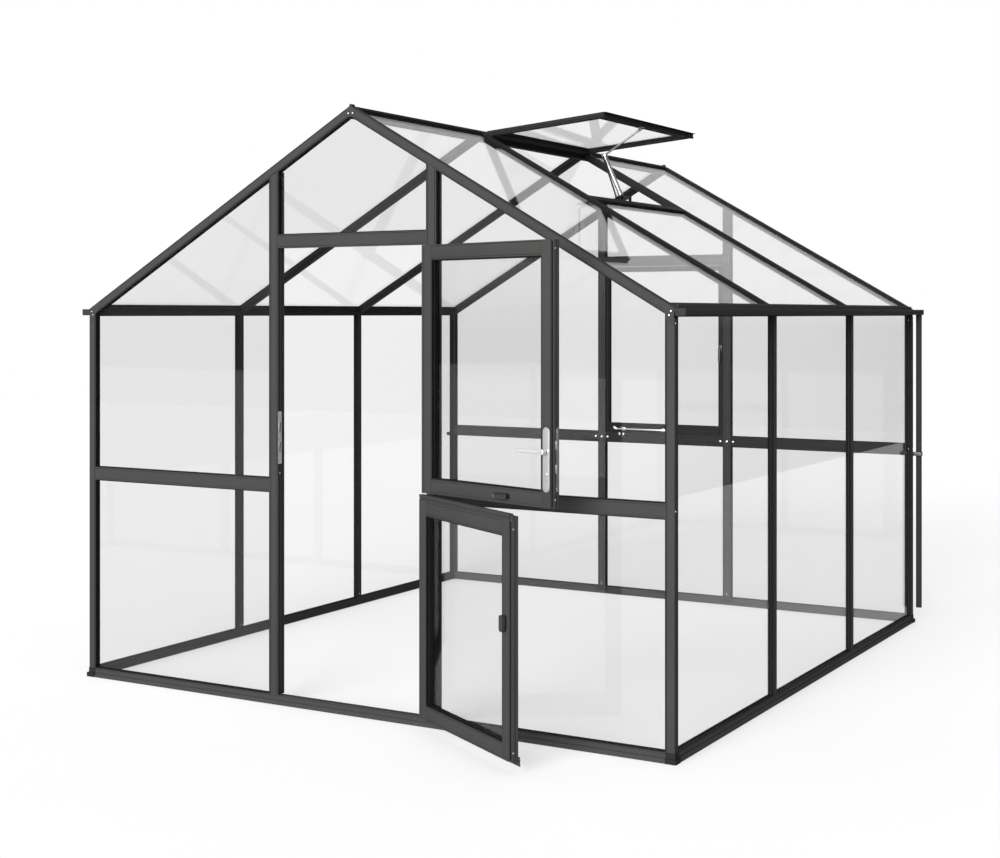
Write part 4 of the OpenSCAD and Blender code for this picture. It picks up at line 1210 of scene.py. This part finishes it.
# Lock: a long plate with round ends, a cylinder in its rose, a forend, a latch and a bolt
lock = {"x": -0.320, "lever": 1.098, "middle": 1.070, "high": 0.227, "thick": 0.003}
lx, lz, mid = lock["x"], lock["lever"], lock["middle"]
plate = roundBlock("lockPlate", (lx - 0.016, full, mid - lock["high"] / 2),
                   (lx + 0.016, full + lock["thick"], mid + lock["high"] / 2), 1, 0.0158, 10,
                   0.0009, 3)
rose = softRod("leverRose", (lx, full + 0.002, lz), (lx, full + 0.0055, lz), 0.0135, 32, 0.0008)
barrel = softRod("keyBarrel", (lx, full, mid - 0.052), (lx, full + 0.0065, mid - 0.052), 0.0085,
                 28, 0.0008)
web = roundBlock("keyWeb", (lx - 0.005, full, mid - 0.074),
                 (lx + 0.005, full + 0.0062, mid - 0.052), 1, 0.0045, 5, 0.0007)
forend = roundBlock("forend", (left, 0.0022, mid - 0.115), (left + 0.002, 0.0228, mid + 0.115), 0,
                    0.004, 4, 0.0004)
latch = addBlock("latch", (left - 0.001, 0.008, lz + 0.008), (left + 0.0005, 0.018, lz + 0.038))
bolt = addBlock("bolt", (left - 0.001, 0.008, lz - 0.074), (left + 0.0005, 0.018, lz - 0.044))
lockParts = [plate, rose, barrel, web, forend] + [softenEdges(piece, 0.0004) for piece in (latch,
                                                                                           bolt)]
place(swing(joinPieces("upperLeafLock", lockParts), door["upperOpen"]), steel, "upper_leaf_lock",
      body="upper leaf")
# The black block in the key barrel is painted shade standing for the keyhole
slot = [softenEdges(addBlock("keyholeShade", (lx - 0.0008, full + 0.0060, mid - 0.056),
                             (lx + 0.0008, full + 0.0069, mid - 0.047)),
                    0.0003)]
slot += [softenEdges(addBlock("forendEnd", (left - 0.0001, 0.004, z),
                              (left + 0.0021, 0.021, z + 0.010)), 0.0003)
         for z in (mid - 0.121, mid + 0.111)]
place(swing(joinPieces("lockDark", slot), door["upperOpen"]), plastic, body="upper leaf")
place(swing(screws("lockScrews", [((lx, full + 0.003, mid + 0.095), "+y"),
                                  ((lx, full + 0.003, mid - 0.095), "+y"),
                                  ((left, 0.0125, mid + 0.100), "-x"),
                                  ((left, 0.0125, mid - 0.100), "-x")]),
            door["upperOpen"]), steel, body="upper leaf")

# Lever: a round neck, a boss and a flat grip with a rounded tip
lever = {"long": 0.128, "near": 0.047, "far": 0.059, "half": 0.0068}
neck = softRod("leverNeck", (lx, full - 0.010, lz), (lx, lever["near"] + 0.004, lz), 0.004, 24,
               0.0005)
boss = softRod("leverBoss", (lx, lever["near"] - 0.0050, lz), (lx, lever["far"], lz), 0.0098, 32,
               0.0018, 3)
grip = addBlock("leverGrip", (lx, lever["near"], lz - lever["half"]),
                (lx + lever["long"], lever["far"], lz + lever["half"]))
for cut in (0.030, 0.095):
    slicePlane(grip, (lx + cut, 0, 0), (1, 0, 0))
slidePoints(grip,
            lambda spot: abs(spot[0] - lx - 0.030) < 0.001 and spot[1] < lever["near"] + 0.001,
            (0, 0.0018, 0))
roundEdges(grip, lambda a, b: alongAxis(1)(a, b) and a[0] > lx + 0.1, 0.0066, 6)
softenEdges(grip, 0.0028, 4, 30)
place(swing(joinPieces("leverHandle", [neck, boss, grip]), door["upperOpen"]), paintedLitSteel,
      "lever_handle", body="lever handle")


# Turn knobs: a spindle, a round rose and an oval grip with a waist
def turnKnob(name, x, z, halfLong, halfWide, upright):
    spindle = softRod("knobSpindle", (x, full - 0.008, z), (x, full + 0.010, z), 0.004, 20, 0.0004)
    roseK = softRod("knobRose", (x, full + 0.0003, z), (x, full + 0.0062, z), halfWide * 0.85, 28,
                    0.0009)
    size = (halfWide, halfLong) if upright else (halfLong, halfWide)
    body = addBlock("knobBody", (x - size[0], full + 0.0060, z - size[1]),
                    (x + size[0], full + 0.0220, z + size[1]))
    roundEdges(body, alongAxis(1), halfWide * 0.98, 8)
    pickFaces(body, lambda center, normal: normal[1] > 0.9)
    bpy.ops.mesh.inset(thickness=halfWide * 0.34)
    bpy.ops.transform.translate(value=(0, -0.0020, 0))
    leaveEdit()
    softenEdges(body, 0.0016, 3, 25)
    return joinPieces(name, [spindle, roseK, body])


place(swing(turnKnob("upperTurnKnob", -0.101, 0.929, 0.035, 0.010, False), door["upperOpen"]),
      plastic, "upper_turn_knob", body="upper turn knob")
place(swing(turnKnob("lowerTurnKnob", -0.319, 0.520, 0.029, 0.011, True), door["lowerOpen"]),
      plastic, "lower_turn_knob", body="lower turn knob")

# Strike plate in the left post: two slots with a black block behind each as painted shade in the
# hollow post, and a screw at its foot
strike = {"low": lz - 0.127, "high": lz + 0.085, "slots": (lz - 0.060, lz + 0.021),
          "in": (0.0012, 0.0258)}
sx = -postNear
strikePlate = addBlock("strikePlate", (sx - 0.002, strike["in"][0], strike["low"]),
                       (sx + 0.0002, strike["in"][1], strike["high"]))
roundEdges(strikePlate, alongAxis(0), 0.004, 4)
frames = [softenEdges(strikePlate, 0.0004)]
for z in strike["slots"]:
    frames.append(addRing("slotRim", (sx, 0.0070, z - 0.0230), (sx + 0.0011, 0.0210, z + 0.0230),
                          0, 0.0022,
                          edge=0.0004))
place(joinPieces("strikePlate", frames), steel, "strike_plate")
# Black blocks behind the slots: painted shade in the hollow post
slotShades = [roundBlock("slotShade", (sx - 0.001, 0.0085, z - 0.0215),
                    (sx + 0.0005, 0.0195, z + 0.0215), 0, 0.003, 4,
                    0.0001) for z in strike["slots"]]
place(joinPieces("strikeSlotShades", slotShades), plastic)
place(screws("strikeScrews", [((sx + 0.0002, 0.0135, z), "+x") for z in (lz - 0.135 + 0.016,
                                                                         lz - 0.020, lz + 0.073)]
             + [((sx, 0.0135, lz - 0.165), "+x")]), steel)
print("lock and knobs made")
bpy.data.objects.remove(pattern)

# Floor, light and camera
stage = {"floorRight": 4.66, "floorLeft": -40.0, "floorFront": -30.0, "floorBack": 16.0}
bpy.ops.object.select_all(action="DESELECT")
bpy.ops.mesh.primitive_plane_add(size=1, location=((stage["floorRight"] + stage["floorLeft"]) / 2,
                                                   (stage["floorFront"] + stage["floorBack"]) / 2,
                                                   -0.001))
floor = bpy.context.object
floor.name = "floor"
floor.scale = (stage["floorRight"] - stage["floorLeft"], stage["floorBack"] - stage["floorFront"],
               1)
applyPlace(floor)
floor.data.materials.append(makeFloor())

lights = {"sky": 1.0, "under": 0.10, "key": 11.5}
scene = bpy.context.scene
world = bpy.data.worlds.new("studio")
scene.world = world
world.use_nodes = True
world.node_tree.nodes.clear()


def worldNode(kind, settings=None, sockets=None):
    node = world.node_tree.nodes.new("ShaderNode" + kind)
    for key, value in (settings or {}).items():
        setattr(node, key, value)
    for key, value in (sockets or {}).items():
        if isinstance(value, bpy.types.NodeSocket):
            world.node_tree.links.new(value, node.inputs[key])
        else:
            node.inputs[key].default_value = value
    return node


direction = worldNode("SeparateXYZ", sockets={0: worldNode("TexCoord").outputs["Generated"]})
over = worldNode("MapRange", sockets={"Value": direction.outputs["Z"], "From Min": -0.01,
                                      "From Max": 0.03, "To Min": lights["under"],
                                      "To Max": lights["sky"]})
lit = worldNode("Background", sockets={"Color": (1, 1, 1, 1), "Strength": over.outputs[0]})
seen = worldNode("Background", sockets={"Color": (1, 1, 1, 1), "Strength": 1.0})
rays = worldNode("LightPath")
shown = worldNode("MixShader", sockets={0: rays.outputs["Is Camera Ray"], 1: lit.outputs[0],
                                        2: seen.outputs[0]})
worldNode("OutputWorld", sockets={0: shown.outputs[0]})

bpy.ops.object.light_add(type="SUN", location=(0.5, -6, 3),
                         rotation=(math.radians(78), 0, math.radians(2)))
key = bpy.context.object
key.name = "keyLight"
key.data.energy = lights["key"]
key.data.angle = math.radians(40)

view = {"place": (3.6694, -5.19, 1.58), "turn": 29.944, "lens": 57.99, "rise": -0.1157}
bpy.ops.object.camera_add(location=view["place"], rotation=(math.pi / 2, 0,
                                                            math.radians(view["turn"])))
camera = bpy.context.object
camera.name = "camera"
camera.data.sensor_width = 36
camera.data.lens = view["lens"]
camera.data.shift_y = view["rise"]
scene.camera = camera
scene.view_settings.view_transform = "Standard"
scene.cycles.transparent_max_bounces = 32
print("stage set")
